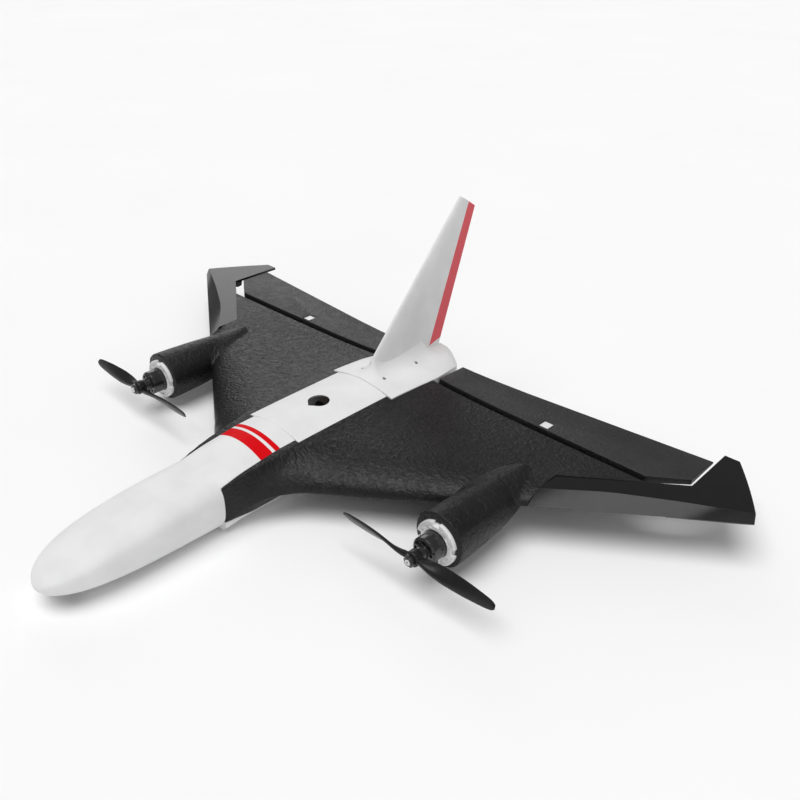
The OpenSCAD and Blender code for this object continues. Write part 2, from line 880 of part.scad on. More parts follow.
module wing_shape() {
    difference() {
        union() {
            wing_blank();
            pod_shape();
        }
        fuselage_outside();
        above_seat(hatch_front_y, hatch_rear_y + 0.1, hatch_half_w, seat_drop);
        saddle_pocket();
        cover_footprint(-40, 20);
        along_y(motor_x, motor_z, mount_sleeve_r, pod_face_y - 1, pod_face_y + mount_depth);
        along_y(motor_x, motor_z, esc_bay_r, pod_face_y, pod_face_y + mount_depth + esc_bay_l);
        along_x(main_spar_y, spar_z, spar_r + spar_gap, 0, spar_half + 1);
        along_x(rear_spar_y, rear_spar_z, rear_spar_r + spar_gap, 0, rear_spar_half + 1);
        lead_channel();
        servo_pocket();
    }
}

module wing_right() {
    color(foam_black)
    datum()
    wing_shape();
}

module wing_left() {
    color(foam_black)
    left_side()
    wing_shape();
}

module tip_cover_right() {
    color(gloss_black)
    datum()
    tip_cover_shape();
}

module tip_cover_left() {
    color(gloss_black)
    left_side()
    tip_cover_shape();
}

module spar_tube(y, z, r, wall, half_l) {
    color(gloss_black)
    datum()
    difference() {
        along_x(y, z, r, -half_l, half_l);
        along_x(y, z, r - wall, -half_l - 1, half_l + 1);
    }
}

module main_spar() {
    spar_tube(main_spar_y, spar_z, spar_r, 1, spar_half);
}

module rear_spar() {
    spar_tube(rear_spar_y, rear_spar_z, rear_spar_r, 0.7, rear_spar_half);
}

// ---- elevon and linkage --------------------------------------------------------------

elevon_drop = 0.8;
window_l = 10;
window_w = 9.5;
window_y = -12;
// Distance along the body between the cover's slanted edge and the elevon's
slant_gap = tip_gap * 1.24;
elevon_out = horn_rear_in - horn_gap;
function elevon_te(x) = mix(elevon_te_in, elevon_te_out, (x - elevon_in) / (horn_in - elevon_in));

function elevon_ring(x) = [
    [x, elevon_front_y, hinge_top(x)],
    [x, elevon_te(x), hinge_top(x) - elevon_drop],
    [x, elevon_te(x), hinge_top(x) - elevon_drop - te_t],
    [x, hinge_y + hinge_gap, hinge_z]
];

// Everything in front of the elevon's slanted outer end.
module slant_cut() {
    x0 = cover_in + 20;
    x1 = elevon_out + 1;
    plate([
        [x0, cover_rear(x0) + slant_gap], [x1, cover_rear(x1) + slant_gap],
        [x1, cover_rear(x0) - 20], [x0, cover_rear(x0) - 20]
    ], -30, 20);
}

module elevon_shape() {
    difference() {
        loft([for (x = concat([elevon_in], range_from(50, 110, 4), [elevon_out])) elevon_ring(x)]);
        slant_cut();
        translate([horn_x - window_w / 2, window_y - window_l / 2, -30])
            cube([window_w, window_l, 40]);
    }
}

module elevon_right() {
    color(foam_grey)
    datum()
    elevon_shape();
}

module elevon_left() {
    color(foam_grey)
    left_side()
    elevon_shape();
}

tape_t = 0.3;
tape_gap = 0.02;
tape_out = 252;

// Tape on the flat land under the wing, up to the hinge line.
module wing_tape() {
    translate([elevon_in + 3, hinge_y - hinge_gap - tape_w, hinge_z - tape_t])
        cube([tape_out - elevon_in - 3, tape_w + hinge_gap / 2, tape_t]);
}

// Tape under the elevon, from the hinge line back.
module elevon_tape() {
    y0 = hinge_y + hinge_gap / 2;
    loft([for (x = concat([elevon_in + 3], range_from(50, 110, 4), [tape_out]))
        let (
            u = tape_w / (elevon_te(x) - hinge_y - hinge_gap),
            z1 = mix(hinge_z, hinge_top(x) - elevon_drop - te_t, u)
        )
        [
            [x, y0, hinge_z - tape_gap], [x, y0 + tape_w, z1 - tape_gap],
            [x, y0 + tape_w, z1 - tape_t], [x, y0, hinge_z - tape_t]
        ]
    ]);
}

module hinge_tape_right() {
    color(gloss_black)
    datum()
    wing_tape();
}

module hinge_tape_left() {
    color(gloss_black)
    left_side()
    wing_tape();
}

module elevon_tape_right() {
    color(gloss_black)
    datum()
    elevon_tape();
}

module elevon_tape_left() {
    color(gloss_black)
    left_side()
    elevon_tape();
}

arm_t = 1.6;
arm_end_r = 2.2;
hole_z = hinge_z - horn_arm;
horn_base_t = 1.4;
horn_base_z = -2.2;
horn_foot_l = 8;

// Flat link in the plane of the linkage: a plate between two round ends.
module link_plate(y0, z0, r0, y1, z1, r1) {
    hull() {
        along_x(y0, z0, r0, horn_x - arm_t / 2, horn_x + arm_t / 2);
        along_x(y1, z1, r1, horn_x - arm_t / 2, horn_x + arm_t / 2);
    }
}

// Hole for the bent end of the pushrod.
module rod_hole(y) {
    along_x(y, hole_z, rod_r + rod_gap, horn_x - 4, horn_x + 4);
}

module horn_shape() {
    difference() {
        union() {
            translate([horn_x - window_w / 2, window_y - window_l / 2, horn_base_z])
                cube([window_w, window_l, horn_base_t]);
            link_plate(window_y, horn_base_z - 2.5, 2.6, hinge_y, hole_z, arm_end_r);
            translate([horn_x - arm_t / 2, window_y - horn_foot_l / 2, horn_base_z - 3])
                cube([arm_t, horn_foot_l, 3]);
        }
        rod_hole(hinge_y);
    }
}

module control_horn_right() {
    color(plastic_white)
    datum()
    horn_shape();
}

module control_horn_left() {
    color(plastic_white)
    left_side()
    horn_shape();
}

servo_stub_r = 2.2;
servo_stub_l = 2.5;
servo_boss_r = 4;
servo_run_gap = 0.05;
arm_hub_r = 3.2;

module servo_shape() {
    difference() {
        union() {
            servo_case(0);
            along_x(servo_y, hinge_z, servo_boss_r, servo_face_x - 1, servo_face_x + 1);
        }
        along_x(servo_y, hinge_z, servo_stub_r + servo_run_gap, servo_face_x - servo_stub_l - 0.5,
            servo_face_x + 2);
    }
}

module servo_right() {
    color(gloss_black)
    datum()
    servo_shape();
}

module servo_left() {
    color(gloss_black)
    left_side()
    servo_shape();
}

module servo_arm_shape() {
    difference() {
        union() {
            along_x(servo_y, hinge_z, servo_stub_r, servo_face_x - servo_stub_l, horn_x);
            along_x(servo_y, hinge_z, arm_hub_r, servo_face_x + 1.3, horn_x + arm_t / 2);
            link_plate(servo_y, hinge_z, arm_hub_r, servo_y, hole_z, arm_end_r);
        }
        rod_hole(servo_y);
    }
}

module servo_arm_right() {
    color(plastic_white)
    datum()
    servo_arm_shape();
}

module servo_arm_left() {
    color(plastic_white)
    left_side()
    servo_arm_shape();
}

rod_x = horn_x + 2.2;
rod_end = 2.4;

// Straight wire beside the two arms, with its ends bent through their holes.
module pushrod_shape() {
    along_y(rod_x, hole_z, rod_r, servo_y, hinge_y);
    for (y = [servo_y, hinge_y]) {
        along_x(y, hole_z, rod_r, horn_x - rod_end, rod_x);
        translate([rod_x, y, hole_z])
            sphere(r = rod_r, $fn = 24);
    }
}

module pushrod_right() {
    color(steel)
    datum()
    pushrod_shape();
}

module pushrod_left() {
    color(steel)
    left_side()
    pushrod_shape();
}

// ---- motor and propeller -------------------------------------------------------------

bell_gap = 1.2;
notch_w = 6.5;
notch_depth = 4;
lead_hole_r = 4;
screw_ring_r = 7;
motor_screw_r = 1;
motor_screw_gap = 0.05;
motor_screw_head_r = 1.9;
motor_screw_head_t = 1.4;
motor_screw_l = 4.8;
mount_back_y = pod_face_y + mount_depth;
base_y = mount_back_y - mount_wall;
base_r = 10.5;
base_t = 2.9;

// A cylinder on the motor's axis, from y0 back to y1.
module on_axis(r, y0, y1) {
    along_y(motor_x, motor_z, r, y0, y1);
}

// Turns copies about the motor's axis, starting from the side.
module around_axis(n) {
    for (i = [0:n - 1])
        translate([motor_x, 0, motor_z])
            rotate([0, i * 360 / n, 0])
                children();
}

module screw_holes() {
    around_axis(4)
        along_y(screw_ring_r, 0, motor_screw_r + motor_screw_gap, base_y - base_t - 1, mount_back_y + 1);
}

module mount_shape() {
    difference() {
        union() {
            on_axis(mount_r, pod_face_y - mount_proud, pod_face_y);
            on_axis(mount_sleeve_r - mount_gap, pod_face_y - 1, mount_back_y);
        }
        on_axis(bell_r + bell_gap, pod_face_y - mount_proud - 1, base_y);
        on_axis(lead_hole_r, base_y - 1, mount_back_y + 1);
        around_axis(4)
            translate([mount_r - notch_depth, pod_face_y - mount_proud - 1, -notch_w / 2])
                cube([notch_depth + 1, mount_proud + 1, notch_w]);
        screw_holes();
    }
}

module motor_mount_right() {
    color(plastic_white)
    datum()
    mount_shape();
}

module motor_mount_left() {
    color(plastic_white)
    left_side()
    mount_shape();
}

module mount_screws() {
    around_axis(4) {
        along_y(screw_ring_r, 0, motor_screw_r, mount_back_y - motor_screw_l, mount_back_y);
        along_y(screw_ring_r, 0, motor_screw_head_r, mount_back_y, mount_back_y + motor_screw_head_t);
    }
}

module motor_screws() {
    color(steel) {
        datum()
            mount_screws();
        left_side()
            mount_screws();
    }
}

tube_r = 4.2;
tube_bore_r = 3;
base_bore_r = 2.2;
stator_r = 9;
stator_teeth = 12;
stator_front_y = pod_face_y - 10;
stator_back_y = pod_face_y;
tube_front_y = pod_face_y - 12;

module motor_base_shape() {
    difference() {
        union() {
            on_axis(base_r, base_y - base_t, base_y);
            on_axis(tube_r, tube_front_y, base_y - 1);
        }
        on_axis(tube_bore_r, tube_front_y - 1, base_y - base_t);
        on_axis(base_bore_r, base_y - base_t - 1, base_y + 1);
        screw_holes();
    }
}

module motor_base_right() {
    color(steel)
    datum()
    motor_base_shape();
}

module motor_base_left() {
    color(steel)
    left_side()
    motor_base_shape();
}

module stator_shape() {
    difference() {
        on_axis(stator_r, stator_front_y, stator_back_y);
        on_axis(tube_r, stator_front_y - 1, stator_back_y + 1);
        around_axis(stator_teeth)
            translate([tube_r + 1.4, stator_front_y - 1, -0.8])
                cube([stator_r, stator_back_y - stator_front_y + 2, 1.6]);
    }
}

module stator_right() {
    color("peru")
    datum()
    stator_shape();
}

module stator_left() {
    color("peru")
    left_side()
    stator_shape();
}

bearing_l = 2.5;

module bearing_pair() {
    for (y = [tube_front_y + 0.5, base_y - base_t - bearing_l])
        difference() {
            on_axis(tube_bore_r, y, y + bearing_l);
            on_axis(shaft_r + shaft_gap, y - 1, y + bearing_l + 1);
        }
}

module bearings_right() {
    color(steel)
    datum()
    bearing_pair();
}

module bearings_left() {
    color(steel)
    left_side()
    bearing_pair();
}

bell_back_y = pod_face_y + 2;
bell_front_y = bell_back_y - bell_len;
bell_wall = 1;
bell_face_t = 2;
boss_r = 5.6;
boss_l = 5.5;
boss_front_y = bell_front_y - boss_l;
bell_edge = 1.2;
bell_hole_r = 1.5;
bell_hole_ring = 7.6;

module bell_shape() {
    difference() {
        union() {
            translate([motor_x, bell_front_y, motor_z])
                rotate([-90, 0, 0])
                    rotate_extrude($fn = 96)
                        polygon([
                            [0, 0], [bell_r - bell_edge, 0], [bell_r, bell_edge],
                            [bell_r, bell_len], [0, bell_len]
                        ]);
            on_axis(boss_r, boss_front_y, bell_front_y + 1);
        }
        on_axis(bell_r - bell_wall, bell_front_y + bell_face_t, bell_back_y + 1);
        on_axis(stud_r, boss_front_y - 1, bell_front_y + bell_face_t + 1);
        around_axis(8)
            along_y(bell_hole_ring, 0, bell_hole_r, bell_front_y - 1, bell_front_y + bell_face_t + 1);
    }
}

module motor_bell_right() {
    color(gloss_black)
    datum()
    bell_shape();
}

module motor_bell_left() {
    color(gloss_black)
    left_side()
    bell_shape();
}

magnet_count = 14;
glue_gap = 0.04;
rotor_gap = 0.4;

module rotor_magnets() {
    difference() {
        on_axis(bell_r - bell_wall - glue_gap, stator_front_y - 1, bell_back_y - 0.5);
        on_axis(stator_r + rotor_gap, stator_front_y - 2, bell_back_y + 1);
        around_axis(magnet_count)
            translate([stator_r, stator_front_y - 2, -0.4])
                cube([4, bell_back_y - stator_front_y + 3, 0.8]);
    }
}

module bell_magnets_right() {
    color(steel)
    datum()
    rotor_magnets();
}

module bell_magnets_left() {
    color(steel)
    left_side()
    rotor_magnets();
}

stud_front_y = pod_face_y - 33.6;
stud_hollow_r = 1;
shaft_back_y = base_y - 1.5;

module shaft_shape() {
    difference() {
        union() {
            on_axis(shaft_r, bell_front_y + bell_face_t - 1, shaft_back_y);
            on_axis(stud_r, stud_front_y, bell_front_y + bell_face_t);
        }
        on_axis(stud_hollow_r, stud_front_y - 1, stud_front_y + 2.5);
    }
}

module motor_shaft_right() {
    color(steel)
    datum()
    shaft_shape();
}

module motor_shaft_left() {
    color(steel)
    left_side()
    shaft_shape();
}

hub_r = 6.4;
hub_l = 7.4;
hub_back_y = boss_front_y;
hub_front_y = hub_back_y - hub_l;
disc_y = pod_face_y - prop_front;
// Blade chord, thickness and rearward sweep, against the share of the propeller's radius
chord_line = [
    [0, 4.6], [0.13, 8.4], [0.27, 12.6], [0.43, 15], [0.6, 14.2], [0.8, 11], [0.92, 7.8],
    [0.975, 5], [1, 2.2]
];
blade_t_line = [[0, 2.8], [0.15, 2.8], [0.4, 1.9], [0.73, 1.3], [1, 0.8]];
blade_shares = [0.05, 0.1, 0.15, 0.21, 0.28, 0.36, 0.45, 0.55, 0.65, 0.74, 0.82, 0.89, 0.94, 0.975, 1];
blade_steps = 7;

// Section of a blade at radius r: flat behind and round in front.
function blade_ring(share) =
    let (
        r = share * prop_r,
        twist = atan(prop_pitch / (2 * PI * max(r, 10))),
        c = lookup(share, chord_line),
        t = lookup(share, blade_t_line),
        under = [for (k = [0:blade_steps])
            let (u = k / blade_steps)
            [c * (u - 0.5), -t * (0.16 + 2.9 * sqrt(u) * (1 - u) * (1 - 0.35 * u))]],
        over = [for (k = [blade_steps:-1:0]) [c * (k / blade_steps - 0.5), 0.12 * t]]
    )
    [for (p = concat(under, over))
        [r, p[0] * sin(twist) + p[1] * cos(twist), p[0] * cos(twist) - p[1] * sin(twist)]
    ];

module blade() {
    loft([for (share = blade_shares) blade_ring(share)]);
}

module propeller_shape() {
    difference() {
        union() {
            on_axis(hub_r, hub_front_y, hub_back_y);
            for (a = [0, 180])
                translate([motor_x, disc_y, motor_z])
                    rotate([0, a, 0])
                        blade();
        }
        on_axis(stud_r, hub_front_y - 1, hub_back_y + 1);
    }
}

module propeller_right() {
    color(gloss_black)
    datum()
    propeller_shape();
}

module propeller_left() {
    color(gloss_black)
    left_side()
    propeller_shape();
}

nut_flats = 9;
nut_l = 3;
collar_r = 3.6;
collar_l = 1;

module nut_shape() {
    difference() {
        union() {
            translate([motor_x, hub_front_y - nut_l, motor_z])
                rotate([-90, 0, 0])
                    cylinder(r = nut_flats / sqrt(3), h = nut_l, $fn = 6);
            on_axis(collar_r, hub_front_y - nut_l - collar_l, hub_front_y);
        }
        on_axis(stud_r, hub_front_y - nut_l - collar_l - 1, hub_front_y + 1);
    }
}

module prop_nut_right() {
    color(gloss_black)
    datum()
    nut_shape();
}

module prop_nut_left() {
    color(gloss_black)
    left_side()
    nut_shape();
}

// ---- equipment -----------------------------------------------------------------------

esc_l = 24;
esc_w = 12;
esc_h = 6;
esc_y = pod_face_y + 16;

// Speed controller, wedged low in the pod's round bay.
module esc_shape() {
    floor_z = motor_z - sqrt(pow(esc_bay_r, 2) - pow(esc_w / 2, 2));
    translate([motor_x - esc_w / 2, esc_y, floor_z + 0.05])
        cube([esc_w, esc_l, esc_h]);
}

module esc_right() {
    color("darkslategray")
    datum()
    esc_shape();
}

module esc_left() {
    color("darkslategray")
    left_side()
    esc_shape();
}

tray_t = 2;
tray_half_w = 18.8;
tray_l = 118;
tray_z = bay_floor_z + 0.05;
tray_top_z = tray_z + tray_t;

module battery_tray() {
    color("burlywood")
    datum()
    translate([-tray_half_w, battery_y - 6, tray_z])
        cube([2 * tray_half_w, tray_l, tray_t]);
}

module battery() {
    color("steelblue")
    datum()
    translate([-battery_w / 2, battery_y, tray_top_z])
        cube([battery_w, battery_l, battery_h]);
}

strap_t = 0.8;
strap_l = 14;
strap_back = 34;

module battery_strap() {
    color(foam_black)
    datum()
    translate([0, battery_y + battery_l - strap_back, tray_top_z])
        difference() {
            translate([-battery_w / 2 - strap_t, 0, 0])
                cube([battery_w + 2 * strap_t, strap_l, battery_h + strap_t]);
            translate([-battery_w / 2, -1, -1])
                cube([battery_w, strap_l + 2, battery_h + 1]);
        }
}

board_w = 30;
board_t = 1.6;
board_y = -92;
pad_t = 3;
pad_inset = 2;
sensor_w = 12;
sensor_t = 3.4;
plug_w = 5;
plug_h = 7;
plug_inset = 4;

// Control board on its foam pad, with a sensor and two rows of plugs.
module flight_controller() {
    color("darkslategray")
    datum()
    translate([-board_w / 2, board_y, tray_z]) {
        translate([pad_inset, pad_inset, 0])
            cube([board_w - 2 * pad_inset, board_w - 2 * pad_inset, pad_t]);
        translate([0, 0, pad_t])
            cube([board_w, board_w, board_t]);
        translate([(board_w - sensor_w) / 2, (board_w - sensor_w) / 2, pad_t])
            cube([sensor_w, sensor_w, sensor_t]);
        for (x = [0, board_w - plug_w])
            translate([x, plug_inset, pad_t])
                cube([plug_w, board_w - 2 * plug_inset, plug_h]);
    }
}

receiver_l = 24;
receiver_w = 16;
receiver_h = 8;
receiver_z = bay_floor_z + bay_corner_r;

// Receiver, stuck to the bay's left wall beside the spar.
module receiver() {
    color(gloss_black)
    datum()
    translate([-bay_half_w, lead_y + 5, receiver_z])
        cube([receiver_h, receiver_l, receiver_w]);
}

fuselage();
nose_intake();
tail_saddle();
fin();
fin_screws();
hatch();
hatch_magnets();
bay_magnets();
battery_tray();
battery();
battery_strap();
flight_controller();
receiver();
main_spar();
rear_spar();
wing_right();
wing_left();
tip_cover_right();
tip_cover_left();
elevon_right();
elevon_left();
control_horn_right();
control_horn_left();
hinge_tape_right();
hinge_tape_left();
elevon_tape_right();
elevon_tape_left();
servo_right();
servo_left();
servo_arm_right();
servo_arm_left();
pushrod_right();
pushrod_left();
esc_right();
esc_left();
motor_mount_right();
motor_mount_left();
motor_screws();
motor_base_right();
motor_base_left();
stator_right();
stator_left();
bearings_right();
bearings_left();
motor_bell_right();
motor_bell_left();
bell_magnets_right();
bell_magnets_left();
motor_shaft_right();
motor_shaft_left();
propeller_right();
propeller_left();
prop_nut_right();
prop_nut_left();
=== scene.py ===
"""Twin-motor foam flying wing: shells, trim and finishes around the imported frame.

Shapes are written in millimetres in the wing datum, where y = 0 is the ridge end of the wing
tip and z = 0 is the wing's flat upper surface. place() turns them into metres in the frame.
"""

import math

import bmesh
import bpy
from mathutils import Matrix, Vector

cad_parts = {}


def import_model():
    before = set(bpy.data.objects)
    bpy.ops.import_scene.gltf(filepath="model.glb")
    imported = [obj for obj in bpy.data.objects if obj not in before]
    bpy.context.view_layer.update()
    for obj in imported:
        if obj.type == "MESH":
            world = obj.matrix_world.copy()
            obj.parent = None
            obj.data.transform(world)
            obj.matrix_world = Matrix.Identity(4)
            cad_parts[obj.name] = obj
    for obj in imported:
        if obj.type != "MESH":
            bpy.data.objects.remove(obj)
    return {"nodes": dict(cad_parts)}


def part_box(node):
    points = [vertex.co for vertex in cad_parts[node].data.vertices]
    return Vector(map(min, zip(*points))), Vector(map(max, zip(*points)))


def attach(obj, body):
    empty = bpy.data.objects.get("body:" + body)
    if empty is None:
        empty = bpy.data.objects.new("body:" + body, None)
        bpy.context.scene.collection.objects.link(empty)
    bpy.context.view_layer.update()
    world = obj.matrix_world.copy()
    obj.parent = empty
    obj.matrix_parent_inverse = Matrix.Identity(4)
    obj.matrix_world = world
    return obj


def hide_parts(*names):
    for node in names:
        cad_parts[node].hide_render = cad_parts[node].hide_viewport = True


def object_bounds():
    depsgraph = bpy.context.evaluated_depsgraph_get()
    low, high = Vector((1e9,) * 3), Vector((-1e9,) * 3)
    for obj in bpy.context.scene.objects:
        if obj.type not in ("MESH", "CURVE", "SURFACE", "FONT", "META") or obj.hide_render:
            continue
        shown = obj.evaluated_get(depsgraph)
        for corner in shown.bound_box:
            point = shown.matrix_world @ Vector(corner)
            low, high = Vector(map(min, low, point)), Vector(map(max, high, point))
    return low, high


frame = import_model()
CAD_LOW, CAD_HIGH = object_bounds()

MM = 0.001
FIN_BACK = 67.1
SPAN = (CAD_HIGH.x - CAD_LOW.x) / MM
LENGTH = (CAD_HIGH.y - CAD_LOW.y) / MM
HALF_SPAN = SPAN / 2
SHIFT = Vector((0, LENGTH / 2 - FIN_BACK, 46))
SIDES = {"right": 1, "left": -1}


def place(point):
    """A point of the wing datum, in metres in the frame."""
    return (Vector(point) + SHIFT) * MM


def datum_box(node):
    """Lowest and highest corner of a node, in the wing datum."""
    return [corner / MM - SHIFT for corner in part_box(node)]


# ---- curves and shells -----------------------------------------------------------------


def mix(a, b, share):
    return a + (b - a) * share


def clamp(value):
    return min(max(value, 0.0), 1.0)


def ease(value):
    value = clamp(value)
    return value * value * (3 - 2 * value)


def rise(share):
    return math.sqrt(max(0.0, 1 - (1 - clamp(share)) ** 2))


def steps(low, high, count):
    return [mix(low, high, i / count) for i in range(count + 1)]


class Line:
    """A smooth curve through the listed points that never overshoots them."""

    def __init__(self, *points):
        self.at, self.value = zip(*points)
        runs = list(zip(self.at, self.value, self.at[1:], self.value[1:]))
        slopes = [(v1 - v0) / (a1 - a0) for a0, v0, a1, v1 in runs]
        inner = [0 if s * t <= 0 else 2 * s * t / (s + t) for s, t in zip(slopes, slopes[1:])]
        self.slope = [slopes[0], *inner, slopes[-1]]

    def __call__(self, x):
        if x <= self.at[0]:
            return self.value[0]
        for i in range(len(self.at) - 1):
            if x <= self.at[i + 1]:
                run = self.at[i + 1] - self.at[i]
                t = (x - self.at[i]) / run
                bend = run * t * (1 - t)
                base = mix(self.value[i], self.value[i + 1], t * t * (3 - 2 * t))
                return base + bend * ((1 - t) * self.slope[i] - t * self.slope[i + 1])
        return self.value[-1]


def new_object(name, bm):
    """A scene object from a bmesh in metres, with merged doubles and outward faces."""
    bmesh.ops.remove_doubles(bm, verts=bm.verts, dist=1e-7)
    bmesh.ops.recalc_face_normals(bm, faces=bm.faces)
    mesh = bpy.data.meshes.new(name)
    bm.to_mesh(mesh)
    bm.free()
    obj = bpy.data.objects.new(name, mesh)
    bpy.context.scene.collection.objects.link(obj)
    return obj


def skin(name, rings):
    """Closed shell through rings of points in the wing datum."""
    bm = bmesh.new()
    rows = [[bm.verts.new(place(p)) for p in ring] for ring in rings]
    for a, b in zip(rows, rows[1:]):
        for i in range(len(a)):
            j = (i + 1) % len(a)
            bm.faces.new((a[i], a[j], b[j], b[i]))
    bm.faces.new(rows[0])
    bm.faces.new(rows[-1])
    return new_object(name, bm)


def lathe(name, centre, axis, profile, sides=64):
    """Solid of revolution about an axis through centre; profile holds (along, radius)."""
    turn = Vector(axis).to_track_quat("Z", "Y")
    rings = []
    for along, radius in profile:
        circle = [(math.cos(a), math.sin(a)) for a in steps(0, math.tau, sides)[:-1]]
        rings.append([
            Vector(centre) + turn @ Vector((radius * c, radius * s, along)) for c, s in circle
        ])
    return skin(name, rings)


def prism(name, outline, z0, z1):
    return skin(name, [[(x, y, z) for x, y in outline] for z in (z0, z1)])


def bake(obj):
    """Turns an object with its modifiers into a plain mesh."""
    graph = bpy.context.evaluated_depsgraph_get()
    mesh = bpy.data.meshes.new_from_object(obj.evaluated_get(graph))
    obj.modifiers.clear()
    obj.data = mesh
    return obj


def carve(obj, *cutters, keep=False):
    """Cuts the cutters out of an object, or keeps only what lies inside them."""
    for cutter in cutters:
        cut = obj.modifiers.new("cut", "BOOLEAN")
        cut.solver = "EXACT"
        cut.operation = "INTERSECT" if keep else "DIFFERENCE"
        cut.object = cutter
        bake(obj)
        bpy.data.objects.remove(cutter)
    return obj


def join(name, objects):
    """One object with the shells of several."""
    bm = bmesh.new()
    for obj in objects:
        bm.from_mesh(obj.data)
        bpy.data.objects.remove(obj)
    mesh = bpy.data.meshes.new(name)
    bm.to_mesh(mesh)
    bm.free()
    obj = bpy.data.objects.new(name, mesh)
    bpy.context.scene.collection.objects.link(obj)
    return obj


def mirrored(obj, name):
    """The same shape on the other side of the centre plane."""
    bm = bmesh.new()
    bm.from_mesh(obj.data)
    bmesh.ops.scale(bm, vec=(-1, 1, 1), verts=bm.verts)
    bmesh.ops.reverse_faces(bm, faces=bm.faces)
    return new_object(name, bm)


def node_copy(node, name):
    """The merged mesh of a CAD node, with its flat faces joined up."""
    bm = bmesh.new()
    bm.from_mesh(frame["nodes"][node].data)
    bmesh.ops.remove_doubles(bm, verts=bm.verts, dist=2e-6)
    bmesh.ops.dissolve_limit(
        bm, angle_limit=math.radians(0.5), verts=bm.verts, edges=bm.edges)
    return new_object(name, bm)


def soften(obj, width, segments=2, angle=35):
    """Rounds the sharp edges, width in millimetres."""
    bevel = obj.modifiers.new("round", "BEVEL")
    bevel.width = width * MM
    bevel.segments = segments
    bevel.limit_method = "ANGLE"
    bevel.angle_limit = math.radians(angle)
    bevel.use_clamp_overlap = True
    return bake(obj)


def fit(obj, finish, body, slot, *nodes, angle=32):
    """Gives a finished piece its material, its body and the nodes it stands for."""
    obj.data.shade_smooth()
    obj.data.set_sharp_from_angle(angle=math.radians(angle))
    obj.data.materials.clear()
    obj.data.materials.append(finish)
    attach(obj, body)
    if nodes:
        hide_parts(*nodes)
    return obj


# ---- finishes --------------------------------------------------------------------------


class Finish:
    """A material whose pattern follows Object coordinates, with sizes in millimetres."""

    def __init__(self, name, roughness, metallic=0.0, specular=0.5, coat=0.0):
        self.material = bpy.data.materials.new(name)
        self.material.use_nodes = True
        self.tree = self.material.node_tree
        self.shader = self.tree.nodes["Principled BSDF"]
        self.shader.inputs["Roughness"].default_value = roughness
        self.shader.inputs["Metallic"].default_value = metallic
        self.shader.inputs["Specular IOR Level"].default_value = specular
        self.shader.inputs["Coat Weight"].default_value = coat
        self.shader.inputs["Coat Roughness"].default_value = 0.08
        self.place = self.node("ShaderNodeTexCoord").outputs["Object"]
        self.normal = None

    def node(self, kind, **inputs):
        node = self.tree.nodes.new(kind)
        for name, value in inputs.items():
            self.feed(node.inputs[name.replace("_", " ")], value)
        return node

    def feed(self, socket, value):
        if isinstance(value, bpy.types.NodeSocket):
            self.tree.links.new(value, socket)
        else:
            socket.default_value = value

    def maths(self, operation, a, b=0.0, limit=False):
        node = self.tree.nodes.new("ShaderNodeMath")
        node.operation = operation
        node.use_clamp = limit
        self.feed(node.inputs[0], a)
        self.feed(node.inputs[1], b)
        return node.outputs[0]

    def stretched(self, scale):
        return self.node("ShaderNodeMapping", Vector=self.place, Scale=scale).outputs[0]

    def noise(self, size, detail=3.0, distortion=0.0, stretch=(1, 1, 1), roughness=0.5):
        node = self.node(
            "ShaderNodeTexNoise", Vector=self.stretched(stretch), Scale=1 / (size * MM),
            Detail=detail, Distortion=distortion, Roughness=roughness)
        return node.outputs["Fac"]

    def cells(self, size, smooth=0.4):
        node = self.tree.nodes.new("ShaderNodeTexVoronoi")
        node.feature = "SMOOTH_F1"
        self.feed(node.inputs["Vector"], self.place)
        node.inputs["Scale"].default_value = 1 / (size * MM)
        node.inputs["Smoothness"].default_value = smooth
        return node.outputs["Distance"]

    def ridges(self, size, detail=2.0, distortion=0.8, stretch=(1, 1, 1)):
        """Thin meandering ridges, 1 on the ridge and 0 away from it."""
        away = self.maths("ABSOLUTE", self.maths(
            "SUBTRACT", self.noise(size, detail, distortion, stretch), 0.5))
        return self.maths("SUBTRACT", 1.0, self.maths("MULTIPLY", away, 5.0, True), True)

    def spread(self, value, low, high, from_low=0.3, from_high=0.7):
        node = self.node(
            "ShaderNodeMapRange", Value=value, From_Min=from_low, From_Max=from_high,
            To_Min=low, To_Max=high)
        return node.outputs["Result"]

    def blend(self, share, a, b):
        node = self.tree.nodes.new("ShaderNodeMix")
        node.data_type = "RGBA"
        self.feed(node.inputs["Factor"], share)
        colours = [s for s in node.inputs if s.type == "RGBA"]
        self.feed(colours[0], a)
        self.feed(colours[1], b)
        return [s for s in node.outputs if s.type == "RGBA"][0]

    def bump(self, height, depth, strength=1.0):
        node = self.node("ShaderNodeBump", Height=height, Distance=depth * MM, Strength=strength)
        if self.normal:
            self.feed(node.inputs["Normal"], self.normal)
        self.normal = node.outputs["Normal"]
        self.feed(self.shader.inputs["Normal"], self.normal)

    def colour(self, value):
        self.feed(self.shader.inputs["Base Color"], value)

    def rough(self, value):
        self.feed(self.shader.inputs["Roughness"], value)

    def height(self, axis):
        """Object coordinate along an axis, in millimetres of the wing datum."""
        split = self.node("ShaderNodeSeparateXYZ", Vector=self.place)
        value = self.maths("DIVIDE", split.outputs["XYZ".index(axis)], MM)
        return self.maths("SUBTRACT", value, SHIFT["XYZ".index(axis)])

    def inside(self, value, low, high, edge=0.12):
        """1 between low and high, with a thin soft edge."""
        up = self.spread(value, 0.0, 1.0, low - edge, low + edge)
        down = self.spread(value, 1.0, 0.0, high - edge, high + edge)
        return self.maths("MULTIPLY", up, down)


def grey(level):
    return (level, level, level, 1)


